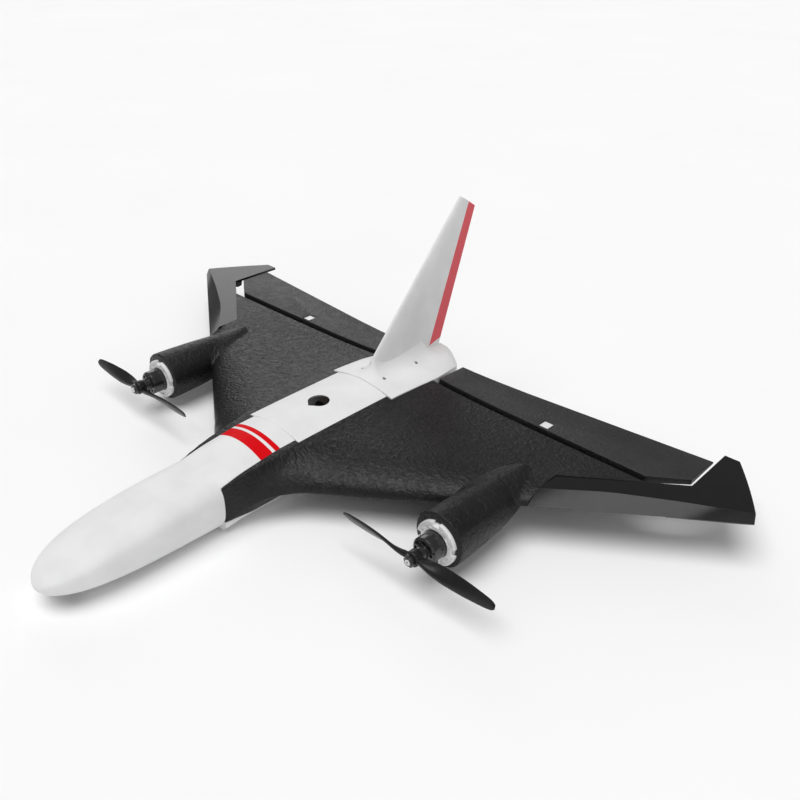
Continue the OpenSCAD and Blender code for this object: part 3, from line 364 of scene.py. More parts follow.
WHITE_FOAM = (0.79, 0.79, 0.79, 1)
WHITE_FOAM_DARK = (0.73, 0.73, 0.735, 1)
TRIM_RED = (0.66, 0.001, 0.005, 1)
FIN_RED = (0.72, 0.12, 0.14, 1)
FOAM_BLACK = (0.006, 0.006, 0.0064, 1)
FOAM_BLACK_LIGHT = (0.011, 0.011, 0.0117, 1)
# Span along the wing where painted shade darkens the hinge groove
HINGE_GROOVE = (-27, -19.4)


def white_foam(name, paint=None, red=TRIM_RED):
    """Moulded white foam: faint bead pattern, and paint where the mask says."""
    f = Finish(name, 0.55, specular=0.06)
    f.rough(f.spread(f.noise(9), 0.48, 0.6))
    base = f.blend(f.spread(f.noise(24), 0, 1), WHITE_FOAM, WHITE_FOAM_DARK)
    if paint:
        base = f.blend(paint(f), base, red)
    f.colour(base)
    f.bump(f.cells(3.4), 0.05)
    f.bump(f.noise(5, 4, 0.5), 0.10)
    return f.material


def deck_bands(f):
    """A wide and a narrow band across the front deck."""
    along = f.height("Y")
    wide = f.inside(along, *WIDE_BAND)
    narrow = f.inside(along, *NARROW_BAND)
    above = f.inside(f.height("Z"), BAND_LOW_Z, 60)
    return f.maths("MULTIPLY", f.maths("MAXIMUM", wide, narrow), above)


# Start and end of each band along the deck
WIDE_BAND = (-222.8, -210.6)
NARROW_BAND = (-207.6, -202.7)
BAND_LOW_Z = -14


def fin_band(f):
    """A band along the fin's rear edge, a little wider and slanted at its foot."""
    up = f.height("Z")
    rear = f.maths("ADD", f.maths("MULTIPLY", up, FIN_TE_LEAN),
                   FIN_BACK - (FIN_TOP_Z - FIN_CUT) * FIN_TE_LEAN)
    ahead = f.maths("SUBTRACT", rear, f.height("Y"))
    foot = f.maths("ADD", up, f.maths("MULTIPLY", ahead, BAND_FOOT_SLANT))
    wide = f.spread(up, BAND_FOOT_W, BAND_TOP_W, FIN_FOOT_Z, FIN_TOP_Z)
    across = f.inside(f.maths("SUBTRACT", wide, ahead), 0, 40)
    return f.maths("MULTIPLY", across, f.inside(foot, BAND_FOOT_Z, 400))


BAND_FOOT_SLANT = 0.2
BAND_FOOT_Z = 19.5
BAND_FOOT_W = 16.5
BAND_TOP_W = 13


def groove_shade(f, colour):
    """Paints shade down in the hinge groove, darkening the foam there to near black."""
    return f.blend(f.inside(f.height("Y"), *HINGE_GROOVE, 0.2), colour, grey(0.002))


def black_foam():
    """Moulded black foam: wrinkled skin with a dull sheen."""
    f = Finish("black_foam", 0.4, specular=0.28)
    f.rough(f.spread(f.noise(6), 0.3, 0.46))
    foam = f.blend(f.spread(f.noise(30), 0, 1), FOAM_BLACK, FOAM_BLACK_LIGHT)
    # Foam colour with painted shade in the hinge groove
    f.colour(groove_shade(f, foam))
    f.bump(f.noise(5.5, 2, 0.8, (1, 1.5, 1)), 1.0)
    f.bump(f.noise(2.8, 3, 1.0), 0.5)
    return f.material


def grey_foam():
    """Foam of the elevons: smoother, with a fine grain."""
    f = Finish("grey_foam", 0.45, specular=0.35)
    f.rough(f.spread(f.noise(8), 0.38, 0.5))
    foam = f.blend(f.spread(f.noise(35), 0, 1), grey(0.02), grey(0.03))
    # Foam colour with painted shade in the hinge groove
    f.colour(groove_shade(f, foam))
    f.bump(f.noise(5, 3, 0.8, (1, 1.5, 1)), 0.6)
    f.bump(f.noise(2.6, 3, 1.0), 0.4)
    return f.material


def plastic(name, level, roughness, grain=0.02, size=1.5, coat=0.0, tint=(1, 1, 1),
            specular=0.5):
    """Moulded plastic with a slight unevenness in tone and gloss."""
    f = Finish(name, roughness, specular=specular, coat=coat)
    a = tuple(level * t for t in tint) + (1,)
    b = tuple(level * 1.18 * t for t in tint) + (1,)
    f.colour(f.blend(f.spread(f.noise(11), 0, 1), a, b))
    f.rough(f.spread(f.noise(6), roughness * 0.85, roughness * 1.2))
    f.bump(f.noise(size, 3), grain)
    return f.material


def metal(name, colour, roughness, stretch=(1, 1, 1), grain=0.01):
    """Turned or plated metal with fine tool marks."""
    f = Finish(name, roughness, metallic=1.0)
    dark = tuple(c * 0.82 for c in colour) + (1,)
    f.colour(f.blend(f.spread(f.noise(2, 4, 0, stretch), 0, 1), tuple(colour) + (1,), dark))
    f.rough(f.spread(f.noise(1.2, 4, 0, stretch), roughness * 0.8, roughness * 1.3))
    f.bump(f.noise(0.6, 3, 0, stretch), grain)
    return f.material


def woven(name, colour):
    """Woven strap: crossing threads."""
    f = Finish(name, 0.8, specular=0.3)
    f.shader.inputs["Sheen Weight"].default_value = 0.3
    threads = []
    for axis in "XY":
        wave = f.maths("SINE", f.maths("MULTIPLY", f.height(axis), math.tau / 1.1))
        threads.append(f.maths("MULTIPLY", wave, 0.25))
    weave = f.maths("ADD", f.maths("ADD", *threads), 0.5)
    f.colour(f.blend(weave, tuple(c * 0.6 for c in colour) + (1,), tuple(colour) + (1,)))
    f.bump(weave, 0.12)
    return f.material


def plywood():
    """Thin ply with grain along the body."""
    f = Finish("plywood", 0.6, specular=0.3)
    grain = f.noise(9, 5, 0.6, (1, 0.08, 1))
    f.colour(f.blend(f.spread(grain, 0, 1), (0.55, 0.37, 0.2, 1), (0.36, 0.22, 0.1, 1)))
    f.bump(grain, 0.05)
    return f.material


def carbon():
    """Pultruded carbon tube with fine lengthwise fibres."""
    f = Finish("carbon", 0.35, specular=0.5, coat=0.3)
    fibres = f.noise(1.6, 3, 0, (0.05, 1, 1))
    f.colour(f.blend(f.spread(fibres, 0, 1), grey(0.012), grey(0.035)))
    f.bump(fibres, 0.03)
    return f.material


def winding():
    """Lacquered copper wire, turn beside turn."""
    f = Finish("copper_winding", 0.3, metallic=0.9)
    turns = f.maths("SINE", f.maths("MULTIPLY", f.height("Y"), math.tau / 0.45))
    f.colour(f.blend(f.spread(turns, 0, 1, -1, 1), (0.32, 0.1, 0.03, 1), (0.75, 0.32, 0.12, 1)))
    f.bump(turns, 0.08)
    return f.material


def board():
    """Circuit board lacquer with faint tracks."""
    f = Finish("circuit_board", 0.35, specular=0.5)
    tracks = f.ridges(2.6, 0, 0, (1, 0.35, 1))
    f.colour(f.blend(tracks, (0.012, 0.03, 0.05, 1), (0.03, 0.08, 0.11, 1)))
    f.bump(tracks, 0.03)
    return f.material


# ---- fuselage --------------------------------------------------------------------------

NOSE_Y = FIN_BACK - LENGTH
ROOT_FRONT_Y = -264
TAIL_END_Y = 41
BELLY_Z = -46
NOSE_TIP_Z = -27
NOSE_HALF_W = 31.5
BODY_HALF_W = 27.2
ROOT_LEDGE_Z = -34
LEDGE_SLOPE = 0.5
BELLY_FLAT_W = 10
WING_AFT_Y = -27.2
HATCH_FRONT_Y = -187
HATCH_REAR_Y = -84
SEAT_DROP = 3.2
FRONT_BLEND = 34
# How far the lower body stands in from the nose's width, in front and behind
LOWER_INSET = (1.2, 3.5)
LOWER_INSET_L = 25
SEAM = 0.02

deck = Line(
    (ROOT_FRONT_Y, 5), (-222, 12), (-202, 12.6), (-136, 13.8), (-84, 14), (-27, 14),
    (10, 13), (20.9, 11.6), (28.1, 8), (32.9, 2), (38.2, -8.5), (TAIL_END_Y, -17))
edge = Line(
    (ROOT_FRONT_Y, -2), (-245, 2.5), (-222, 5.5), (-200, 7.6), (-140, 8.6), (-84, 8.8),
    (-50, 7.2), (-22, 4), (0, 2.5), (18.4, -1), (32.9, -8), (TAIL_END_Y, -18))
belly = Line(
    (ROOT_FRONT_Y, BELLY_Z), (-50, BELLY_Z), (0, -40), (26.5, -34), (36.2, -29),
    (TAIL_END_Y, -23))
saddle_w = Line(
    (-84, 38), (-50, 37.5), (-27, 36), (-5, 33.5), (8, 30.6), (16, 28), (20, 24.5), (24, 20.8),
    (28, 16.9), (32, 13), (36, 8.6), (39, 4.5), (TAIL_END_Y, 1.5))


def nose_lines(t):
    """Half width, top, underside and widest height at share t of the way to the tip."""
    s = min(t, 0.99999)
    wide = NOSE_HALF_W * math.sqrt(1 - s ** 5)
    top = mix(NOSE_TIP_Z, deck(ROOT_FRONT_Y), math.sqrt(1 - s ** 1.9))
    low = mix(NOSE_TIP_Z, BELLY_Z, math.sqrt(1 - s ** 2.4))
    return wide, top, low, mix(low, top, 0.6)


def nose_ring(t, quarter=22):
    wide, top, low, mid = nose_lines(t)
    ring = []
    for i in range(4 * quarter):
        a = i * math.pi / 2 / quarter
        c, s = math.cos(a), math.sin(a)
        power = 2 / 3 if s >= 0 else 2 / 2.5
        x = math.copysign(abs(c) ** power, c) * wide
        z = mid + abs(s) ** power * (top - mid if s >= 0 else low - mid)
        ring.append((x, mix(ROOT_FRONT_Y, NOSE_Y, t), z))
    return ring


def nose_top(x):
    """Height of the nose's upper surface where it meets the body."""
    wide, top, _, mid = nose_lines(0)
    share = min(abs(x) / wide, 1)
    return mid + (top - mid) * (1 - share ** 3) ** (1 / 3)


def deck_height(x, y):
    """Upper surface in front of the hatch: the nose's shape passes into the arched deck."""
    arch = edge(y) + (deck(y) - edge(y)) * (1 - (x / BODY_HALF_W) ** 2)
    start = ease((y - ROOT_FRONT_Y) / FRONT_BLEND)
    return mix(nose_top(x) + deck(y) - deck(ROOT_FRONT_Y), arch, start)


def body_ring(y, covered):
    """Body section at y; covered stretches end in the flat seat of a deck piece."""
    between = y < WING_AFT_Y
    side = BODY_HALF_W if between else saddle_w(y)
    inset = mix(*LOWER_INSET, ease((y - ROOT_FRONT_Y) / LOWER_INSET_L))
    low_w = NOSE_HALF_W - inset if between else 0.97 * saddle_w(y)
    ledge = ROOT_LEDGE_Z if between else mix(belly(y), edge(y), 0.5)
    low = belly(y)
    flat = min(BELLY_FLAT_W, low_w / 2)
    half = [(flat, low)]
    for u in steps(0, 1, 16)[1:]:
        bent = u ** 1.8
        half.append((mix(flat, low_w, math.sqrt(1 - (1 - bent) ** 2.5)), mix(low, ledge, bent)))
    half.append((side, ledge + LEDGE_SLOPE))
    for x in steps(side, 0, 14):
        half.append((x, edge(y) - SEAT_DROP if covered else deck_height(x, y)))
    ring = [(x, y, z) for x, z in half]
    return ring + [(-x, y, z) for x, z in reversed(half[:-1])]


def tub(name, half_w, y0, y1, z0, z1, radius):
    """Box-shaped space with round lower corners, used as a cutter."""
    rings = []
    for a in steps(0, math.pi / 2, 5):
        inset = radius * (1 - math.sin(a))
        rings.append((z0 + radius * (1 - math.cos(a)), inset))
    rings.append((z1, 0))
    return skin(name, [
        [(x, y, z) for x, y in round_box(
            half_w - inset, y0 + inset, y1 - inset, radius - 0.9 * inset)]
        for z, inset in rings
    ])


def round_box(half_w, y0, y1, radius):
    corners = [(half_w, y0, -90), (half_w, y1, 0), (-half_w, y1, 90), (-half_w, y0, 180)]
    outline = []
    for x, y, start in corners:
        cx = x - math.copysign(radius, x)
        cy = y + radius if y == y0 else y - radius
        for a in steps(start, start + 90, 5):
            outline.append((
                cx + radius * math.cos(math.radians(a)), cy + radius * math.sin(math.radians(a))))
    return outline


INTAKE_HALF_W = 18.2
BAY_HALF_W = 23.2
BAY_FLOOR_Z = -42
BAY_ROOF_Z = -2
BAY_CORNER = 4
BAY_SPACES = [(-246, -171, BAY_ROOF_Z), (-179, -92, 30), (-100, -52, BAY_ROOF_Z)]


def fuselage():
    """Nose and body shells, hollowed for the equipment bay and the cooling intake."""
    nose = skin("nose", [nose_ring(1 - (i / 64) ** 1.7) for i in range(65)])
    grille = datum_box("nose_intake")
    carve(nose, prism("intake", [
        (-INTAKE_HALF_W, grille[0].y), (INTAKE_HALF_W, grille[0].y),
        (INTAKE_HALF_W, grille[1].y), (-INTAKE_HALF_W, grille[1].y)], BELLY_Z - 2, -30))
    stretches = [
        (ROOT_FRONT_Y - SEAM, HATCH_FRONT_Y, 40, False),
        (HATCH_FRONT_Y + SEAM, WING_AFT_Y - 0.3, 40, True),
        (WING_AFT_Y + SEAM, TAIL_END_Y, 50, True)]
    body = skin("body", [
        body_ring(y, covered) for y0, y1, count, covered in stretches for y in steps(y0, y1, count)
    ])
    for y0, y1, top in BAY_SPACES:
        carve(body, tub("bay", BAY_HALF_W, y0, y1, BAY_FLOOR_Z, top, BAY_CORNER))
    shell = join("fuselage_shell", [nose, body])
    fit(shell, white_foam("white_foam_banded", deck_bands), "airframe", "white_foam",
        "fuselage", angle=40)


# ---- hatch and tail --------------------------------------------------------------------

HATCH_HALF_W = 32
HATCH_T = 3
HATCH_GAP = 0.12
VENT_Y = -136
VENT_R = 9.6
VENT_NOSE = 12.2
VENT_WIDENING = [(0, 1.55), (11.5, 1.3), (13.2, 1), (30, 1)]
BOSS_FOOT_R = 2.4
BOSS_R = 3


def vent_outline():
    """Round behind and drawn out to a blunt point in front."""
    open_angle = math.acos(VENT_R / VENT_NOSE)
    arc = [
        (VENT_R * math.cos(a), VENT_Y + VENT_R * math.sin(a))
        for a in steps(open_angle - math.pi / 2, 3 * math.pi / 2 - open_angle, 60)
    ]
    return arc + [(0, VENT_Y - VENT_NOSE)]


def vent_cutter():
    """Space of the vent, wider below so that its rim ends in a thin lip."""
    rings = []
    for z, grow in VENT_WIDENING:
        rings.append([(x * grow, VENT_Y + (y - VENT_Y) * grow, z) for x, y in vent_outline()])
    return skin("vent", rings)


def hatch():
    """Arched lid with the drop-shaped vent and a boss for each magnet."""
    w = HATCH_HALF_W - HATCH_GAP
    across = steps(-w, w, 56)
    rings = []
    for y in steps(HATCH_FRONT_Y + HATCH_GAP, HATCH_REAR_Y - HATCH_GAP, 60):
        crown = deck(y) - edge(y)
        under = [
            (x, y, edge(y) - HATCH_T + max(0, 1 - (x / BODY_HALF_W) ** 2) * crown) for x in across
        ]
        top = [(x, y, edge(y) + crown * (1 - (x / w) ** 2)) for x in reversed(across)]
        rings.append(under + top)
    lid = skin("lid", rings)
    carve(lid, vent_cutter())
    soften(lid, 0.18, 2, 60)
    magnets = datum_box("hatch_magnets")
    bosses = []
    for y in (magnets[0].y + BOSS_FOOT_R, magnets[1].y - BOSS_FOOT_R):
        for x in (magnets[0].x + BOSS_FOOT_R, magnets[1].x - BOSS_FOOT_R):
            foot = edge(y) - SEAT_DROP + 0.2
            bosses.append(lathe("boss", (x, y, foot), (0, 0, 1), [
                (0, BOSS_FOOT_R), (0, BOSS_R - 0.2), (0.2, BOSS_R), (4, BOSS_R)], 40))
    lid = join("hatch_lid", [lid, *bosses])
    fit(lid, white_foam("white_foam"), "hatch_lid", "white_foam", "hatch", angle=40)


FIN_FOOT_Z = 8
FIN_TOP_Z = 154.7
FIN_CUT = 13.8
FIN_TOP_L = 21.5
FIN_LEAN = 0.9275
FIN_TE_LEAN = 0.372
FIN_FRONT_Y = -72
FIN_T = 9
FIN_TIP_T = 5
FILLET_R = 19
FILLET_CORE = 1.5
FILLET_PEAK = 18
FILLET_FRONT_Y = -70
FILLET_REAR_Y = -6
SCREW_SPOTS = [(14, -69), (13.5, -26), (-14, -69), (-13.5, -26), (0, 24)]
SCREW_RECESS = 1.1
SCREW_HEAD_R = 1.5


def saddle_top(x, y):
    w = saddle_w(y)
    crown = (deck(y) - edge(y)) * (1 - min(abs(x) / w, 1) ** 2.2)
    beyond = max(0, FILLET_FRONT_Y - y, y - FILLET_REAR_Y)
    away = math.hypot(max(0, abs(x) - FILLET_CORE), beyond) / FILLET_R
    lift = 1 - math.sqrt(max(0, 1 - max(0, 1 - away) ** 2.2))
    return edge(y) + crown + FILLET_PEAK * lift


def tail_saddle():
    """Saddle that carries the fin, blended up to it, with recesses for its screws."""
    rings = []
    across = 64
    for y in steps(HATCH_REAR_Y + 0.2, TAIL_END_Y, 90):
        w = saddle_w(y)
        xs = [-w * math.cos(math.pi * k / across) for k in range(across + 1)]
        rings.append([(x, y, edge(y) - SEAT_DROP) for x in xs]
                     + [(x, y, saddle_top(x, y)) for x in reversed(xs)])
    saddle = skin("saddle", rings)
    soften(saddle, 0.6, 3, 50)
    for x, y in SCREW_SPOTS:
        seat = saddle_top(x, y) - SCREW_RECESS
        carve(saddle, lathe("recess", (x, y, seat), (0, 0, 1), [
            (0, SCREW_HEAD_R + 0.1), (1, SCREW_HEAD_R + 0.1), (6, SCREW_HEAD_R + 0.4)], 40))
    saddle.name = "tail_saddle_shell"
    fit(saddle, white_foam("white_foam_saddle"), "airframe", "white_foam", "tail_saddle", angle=40)


def fin_le(z):
    """Leading edge: straight down from the top, then round into the foot."""
    line = FIN_BACK - FIN_TOP_L - (FIN_TOP_Z - z) * FIN_LEAN
    return max(FIN_FRONT_Y, line)


def fin_te(z):
    return FIN_BACK - (FIN_TOP_Z - FIN_CUT - z) * FIN_TE_LEAN


def fin_half(u):
    return min(rise(u / 0.3), mix(1, 0.3, (u - 0.3) / 0.7) if u > 0.3 else 1)


def fin_ring(y0, z0, y1, z1, thick):
    shares = [(k / 26) ** 1.8 for k in range(27)]
    right = [(-thick * fin_half(u), mix(y0, y1, u), mix(z0, z1, u)) for u in shares]
    return right + [(-x, y, z) for x, y, z in reversed(right[1:])]


def fin():
    """Single tall fin with a round leading edge and a cut-off top."""
    rings = []
    top = FIN_TOP_Z - FIN_CUT - 3
    for z in steps(FIN_FOOT_Z, top, 30):
        share = (z - FIN_FOOT_Z) / (FIN_TOP_Z - FIN_FOOT_Z)
        thick = mix(FIN_T, FIN_TIP_T, share) / 2
        rings.append(fin_ring(fin_le(z), z, fin_te(z), z, thick))
    for u in steps(0, 1, 6)[1:]:
        rings.append(fin_ring(
            mix(fin_le(top), FIN_BACK - FIN_TOP_L, u), mix(top, FIN_TOP_Z, u),
            mix(fin_te(top), FIN_BACK, u), mix(top, FIN_TOP_Z - FIN_CUT, u), FIN_TIP_T / 2))
    blade = skin("fin_blade", rings)
    soften(blade, 0.7, 3, 50)
    fit(blade, white_foam("white_foam_fin", fin_band, FIN_RED), "airframe", "white_foam", "fin", angle=45)


# ---- wing ------------------------------------------------------------------------------

ROOT_LE_Y = -248
TIP_LE_Y = -8.4
HINGE_Y = -23.2
HINGE_Z = -7.5
HINGE_GAP = 0.3
TAPE_W = 5
CREST = 0.6
ROOT_FADE = 45
MOTOR_X = sum(c.x for c in datum_box("motor_bell_right")) / 2
MOTOR_Z = sum(c.z for c in datum_box("motor_bell_right")) / 2
POD_FACE_Y = -180


def le_straight(x):
    return ROOT_LE_Y + x * (TIP_LE_Y - ROOT_LE_Y) / HALF_SPAN


COVER_W = 139
COVER_IN = HALF_SPAN - COVER_W
le_y = Line(
    (28.5, ROOT_FRONT_Y), (31.5, -256), (34, -246), (38, -236), (44, -226.5), (52, -216),
    (60, -207.5), (70, -200), *[(x, le_straight(x)) for x in (76, 84, 100, 200, HALF_SPAN)])
le_z = Line(
    (28.5, ROOT_LEDGE_Z + 1), (31.5, -30), (34, -26), (38, -22.5), (44, -20), (52, -18.5),
    (62, -17.8), (80, -17.6), (110, -17), (150, -14.5), (COVER_IN, -10.5), (HALF_SPAN, -7))
rise_run = Line(
    (28.5, 1.5), (31.5, 22), (36, 46), (44, 60), (62, 62), (80, 56), (150, 42), (260, 26),
    (HALF_SPAN, 10))
belly_z = Line(
    (28.5, ROOT_LEDGE_Z), (31.5, -30), (40, -24), (62, -23), (100, -23.5), (150, -20), (COVER_IN, -14),
    (HALF_SPAN, -13.5))
UNDER_FADE = 5
root_belly = Line((-264, ROOT_LEDGE_Z), (-110, ROOT_LEDGE_Z), (-60, -24), (-20, -9))


def wing_top(x, y):
    u = (y - le_y(x)) / (WING_AFT_Y - le_y(x))
    outer = mix(CREST, 0, max(0, (u - 0.4) / 0.6))
    flat = mix(outer, edge(y), math.exp(-max(0, x - 32) / ROOT_FADE))
    return mix(le_z(x), flat, rise((y - le_y(x)) / rise_run(x)))


def wing_low(x, y):
    u = (y - le_y(x)) / (WING_AFT_Y - le_y(x))
    outer = mix(belly_z(x), HINGE_Z, max(0, (u - 0.35) / 0.65))
    flat = mix(outer, root_belly(y), math.exp(-max(0, x - 32) / UNDER_FADE))
    return mix(le_z(x), min(flat, le_z(x) - 1), rise((y - le_y(x)) / (0.7 * rise_run(x))))


pod_width = Line(
    (0, 0.95), (1.3, 1), (30, 0.95), (55, 0.87), (75, 0.75), (90, 0.58), (100, 0.34), (105, 0.12))
pod_top = Line(
    (0, 0.97), (1.3, 1), (34, 0.95), (58, 0.89), (75, 0.83), (90, 0.78), (100, 0.73), (105, 0.67))
pod_low = Line(
    (0, 0.95), (1.3, 1), (30, 0.97), (55, 0.86), (75, 0.6), (90, 0.3), (100, 0.12), (105, 0.1))
POD_L = 105
POD_R = 24.5
POD_FLANK = 22.8
POD_FILLET = 9
SLEEVE_R = 17.5
SLEEVE_END = 13


def pod_height(x, y):
    """Height of the pod's top above a point of the wing, falling away beside it."""
    d = y - POD_FACE_Y
    reach = POD_R * pod_width(d)
    across = abs(x - MOTOR_X)
    crown = MOTOR_Z + POD_R * pod_top(d) * math.sqrt(max(0, 1 - (across / reach) ** 2))
    beyond = max(0, d - POD_L + 2)
    return crown - 3 * max(0, across - 0.98 * reach) - 6 * beyond


def wing_skin_top(x, y):
    """Wing surface with a soft hollow where the pod grows out of it."""
    wing, pod = wing_top(x, y), pod_height(x, y)
    share = clamp(0.5 + 0.5 * (pod - wing) / POD_FILLET)
    blended = mix(wing, pod, share) + POD_FILLET * share * (1 - share)
    return blended - max(0, pod - wing - 0.8 * POD_FILLET)


def wing_ring(x, count=64):
    shares = [(k / count) ** 2.0 for k in range(count + 1)]
    ys = [mix(le_y(x), WING_AFT_Y, s) for s in shares]
    top = [(x, y, wing_skin_top(x, y)) for y in ys]
    land = [(x, HINGE_Y - HINGE_GAP, HINGE_Z), (x, HINGE_Y - HINGE_GAP - TAPE_W, HINGE_Z)]
    under = [(x, y, wing_low(x, y)) for y in ys[1:] if y < HINGE_Y - HINGE_GAP - TAPE_W - 2]
    spare = len(ys) - 1 - len(under)
    return top + land + [under[-1]] * spare + under[::-1]


def rounded(points, radius, count=5):
    """Open outline with its inner corners rounded."""
    outline = [points[0]]
    for before, corner, after in zip(points, points[1:], points[2:]):
        corner = Vector(corner)
        out, back = Vector(after) - corner, Vector(before) - corner
        reach = min(radius, out.length / 2, back.length / 2)
        start = corner + back.normalized() * reach
        end = corner + out.normalized() * reach
        for t in steps(0, 1, count):
            outline.append(tuple(
                start * (1 - t) ** 2 + corner * 2 * t * (1 - t) + end * t * t))
    return outline + [points[-1]]


def pod():
    """Motor pod: round above, flat-sided and tapering underneath."""
    arc = [(POD_R * math.cos(math.radians(a)), POD_R * math.sin(math.radians(a)))
           for a in steps(35, 90, 18)]
    half = rounded([
        (0, -22), (12, -19.5), (19.6, -12), (POD_FLANK, -1), (POD_FLANK, 6), arc[0]], 5) + arc[1:]
    full = half + [(-x, z) for x, z in reversed(half[1:-1])]
    rings = []
    for d in [0, 0.35, 0.8, 1.3, *steps(3, POD_L - 6, 60), *steps(POD_L - 5, POD_L, 8)]:
        round_in = 1 - 0.05 * (1 - rise(d / 1.3)) if d < 1.3 else 1
        wide = round_in if d < 1.3 else pod_width(d)
        ring = []
        for x, z in full:
            high = round_in if d < 1.3 else (pod_top(d) if z > 0 else pod_low(d))
            ring.append((MOTOR_X + x * wide, POD_FACE_Y + d, MOTOR_Z + z * high))
        rings.append(ring)
    return skin("pod", rings)


HORN_W = 54.3
HORN_BACK = 51.3
HORN_TIP_W = 43
HORN_IN = HALF_SPAN - HORN_W


def cover_footprint():
    """Outline of the tip cover seen from above."""
    tip = []
    for u in steps(0, 1, 24):
        x = mix(HALF_SPAN - HORN_TIP_W, HALF_SPAN, u) + 6 * u * (1 - u)
        tip.append((x, mix(HORN_BACK, TIP_LE_Y, u)))
    return [(COVER_IN, -68.7), (HORN_IN, -6.1), (HORN_IN - 1.8, HORN_BACK), *tip,
            (HALF_SPAN, TIP_LE_Y - 6), (COVER_IN, le_y(COVER_IN) - 6)]


def seat_cutter():
    """Space above the hatch's seat."""
    rings = []
    for y in steps(HATCH_FRONT_Y, HATCH_REAR_Y + 0.1, 30):
        z = edge(y) - SEAT_DROP
        rings.append([(-HATCH_HALF_W, y, z), (HATCH_HALF_W, y, z), (HATCH_HALF_W, y, 80),
                      (-HATCH_HALF_W, y, 80)])
    return skin("seat", rings)


def box_cutter(low, high, grow=0.2, drop=0.0):
    outline = [(low.x - grow, low.y - grow), (high.x + grow, low.y - grow),
               (high.x + grow, high.y + grow), (low.x - grow, high.y + grow)]
    return prism("cutter", outline, low.z - drop, high.z + grow)


def wings():
    """Foam wing with its pod, and its mirror image."""
    xs = [24, 27, 28.5, *steps(29.5, 90, 48), *steps(92, 150, 24), *steps(152, 208, 44),
          *steps(211, 275, 20)]
    wing = skin("wing", [wing_ring(x) for x in xs])
    servo = datum_box("servo_right")
    arm = datum_box("servo_arm_right")
    hub = arm[0].copy()
    hub.x = servo[1].x - 1.5
    carve(wing, seat_cutter(), prism("cover", cover_footprint(), -40, 20),
          box_cutter(servo[0], servo[1], 0.2, 12),
          box_cutter(hub, Vector((arm[1].x + 3, arm[1].y, arm[1].z)), 3.5, 12))
    body = pod()
    carve(body, lathe("sleeve", (MOTOR_X, POD_FACE_Y - 5, MOTOR_Z), (0, 1, 0),
                      [(0, SLEEVE_R), (SLEEVE_END, SLEEVE_R)], 96))
    finish = black_foam()
    right = join("wing_shell_right", [wing, body])
    left = mirrored(right, "wing_shell_left")
    for side, obj in (("right", right), ("left", left)):
        fit(obj, finish, "airframe", "black_foam", "wing_" + side, angle=40)


def tip_covers():
    """Gloss covers over the tips, with their edges just rounded off."""
    finish = plastic("gloss_black", 0.006, 0.2, 0.01, 2.5, specular=0.3)
    for side in SIDES:
        cover = soften(node_copy("tip_cover_" + side, "tip_cover_shell_" + side), 0.3, 2, 20)
        fit(cover, finish, "airframe", "gloss_black", "tip_cover_" + side, angle=8)


def elevons():
    """Flat foam flaps with rounded edges and a window for the horn."""
    finish = grey_foam()
    for side in SIDES:
        flap = soften(node_copy("elevon_" + side, "elevon_flap_" + side), 0.5, 3, 20)
        fit(flap, finish, f"elevon_{side}_flap", "grey_foam", "elevon_" + side, angle=30)


# ---- motors and propellers -------------------------------------------------------------


def on_motor(name, profile, sides=96):
    """Turned piece on the right motor's axis; profile holds (y, radius) from the front."""
    return lathe(name, (MOTOR_X, 0, MOTOR_Z), (0, 1, 0), profile, sides)


def pair(right, name, finish, body, slot, node, angle=32):
    """Fits a right-hand piece and its mirror image."""
    right.name = name + "_right"
    left = mirrored(right, name + "_left")
    for side, obj in (("right", right), ("left", left)):
        nodes = [node.format(side)] if node else []
        fit(obj, finish, body.format(side), slot, *nodes, angle=angle)


# The flange is shown a little smaller than its frame piece
RING_SCALE = 0.935
GROOVE_RADII = ((17.2, 1), (16.5, -1))
GROOVE_HALF_ANGLE = 0.5
DIMPLE_R = 14.4
DIMPLE_TURNS = (-0.42, 0, 0.42)


def motor_mounts(finish):
    """Notched flange with arc grooves and dimples between the notches."""
    mount = node_copy("motor_mount_right", "mount")
    face = datum_box("motor_mount_right")[0].y
    axis = place((MOTOR_X, 0, MOTOR_Z))
    for vertex in mount.data.vertices:
        for i in (0, 2):
            vertex.co[i] = mix(axis[i], vertex.co[i], RING_SCALE)
    soften(mount, 0.35, 2, 30)
    cutters = []
    for quarter in range(4):
        middle = math.radians(45 + 90 * quarter)
        outline = []
        for radius, turn in GROOVE_RADII:
            for a in steps(-GROOVE_HALF_ANGLE * turn, GROOVE_HALF_ANGLE * turn, 14):
                outline.append((radius * math.cos(middle + a), radius * math.sin(middle + a)))
        cutters.append(skin("groove", [
            [(MOTOR_X + x, y, MOTOR_Z + z) for x, z in outline] for y in (face - 1, face + 0.5)]))
        for turn in DIMPLE_TURNS:
            a = middle + turn
            spot = (MOTOR_X + DIMPLE_R * math.cos(a), face - 0.3, MOTOR_Z + DIMPLE_R * math.sin(a))
            cutters.append(lathe("dimple", spot, (0, 1, 0), [
                (-0.5, 0.9), (0.3, 0.9), (0.7, 0.55), (0.8, 0.2)], 20))
    carve(mount, *cutters)
    pair(mount, "motor_mount_ring", finish, "airframe", "white_plastic", "motor_mount_{}")


def motor_bells(finish):
    """Bell with a round shoulder and a ring of cooling holes."""
    bell = node_copy("motor_bell_right", "bell")
    soften(bell, 0.9, 4, 30)
    pair(bell, "motor_bell_shell", finish, "rotor_{}", "anodised_black", "motor_bell_{}", angle=35)


PROP_R = 75.1
PROP_PITCH = 114
HUB_R = 6.4
HUB_BORE = 2.5
chord = Line(
    (0, 4.6), (0.13, 8), (0.27, 11), (0.43, 12.6), (0.6, 12.4), (0.8, 10.6), (0.92, 8.6),
    (0.975, 6.4), (1, 3.4))
blade_t = Line((0, 2.8), (0.15, 2.8), (0.4, 1.9), (0.73, 1.3), (1, 0.8))


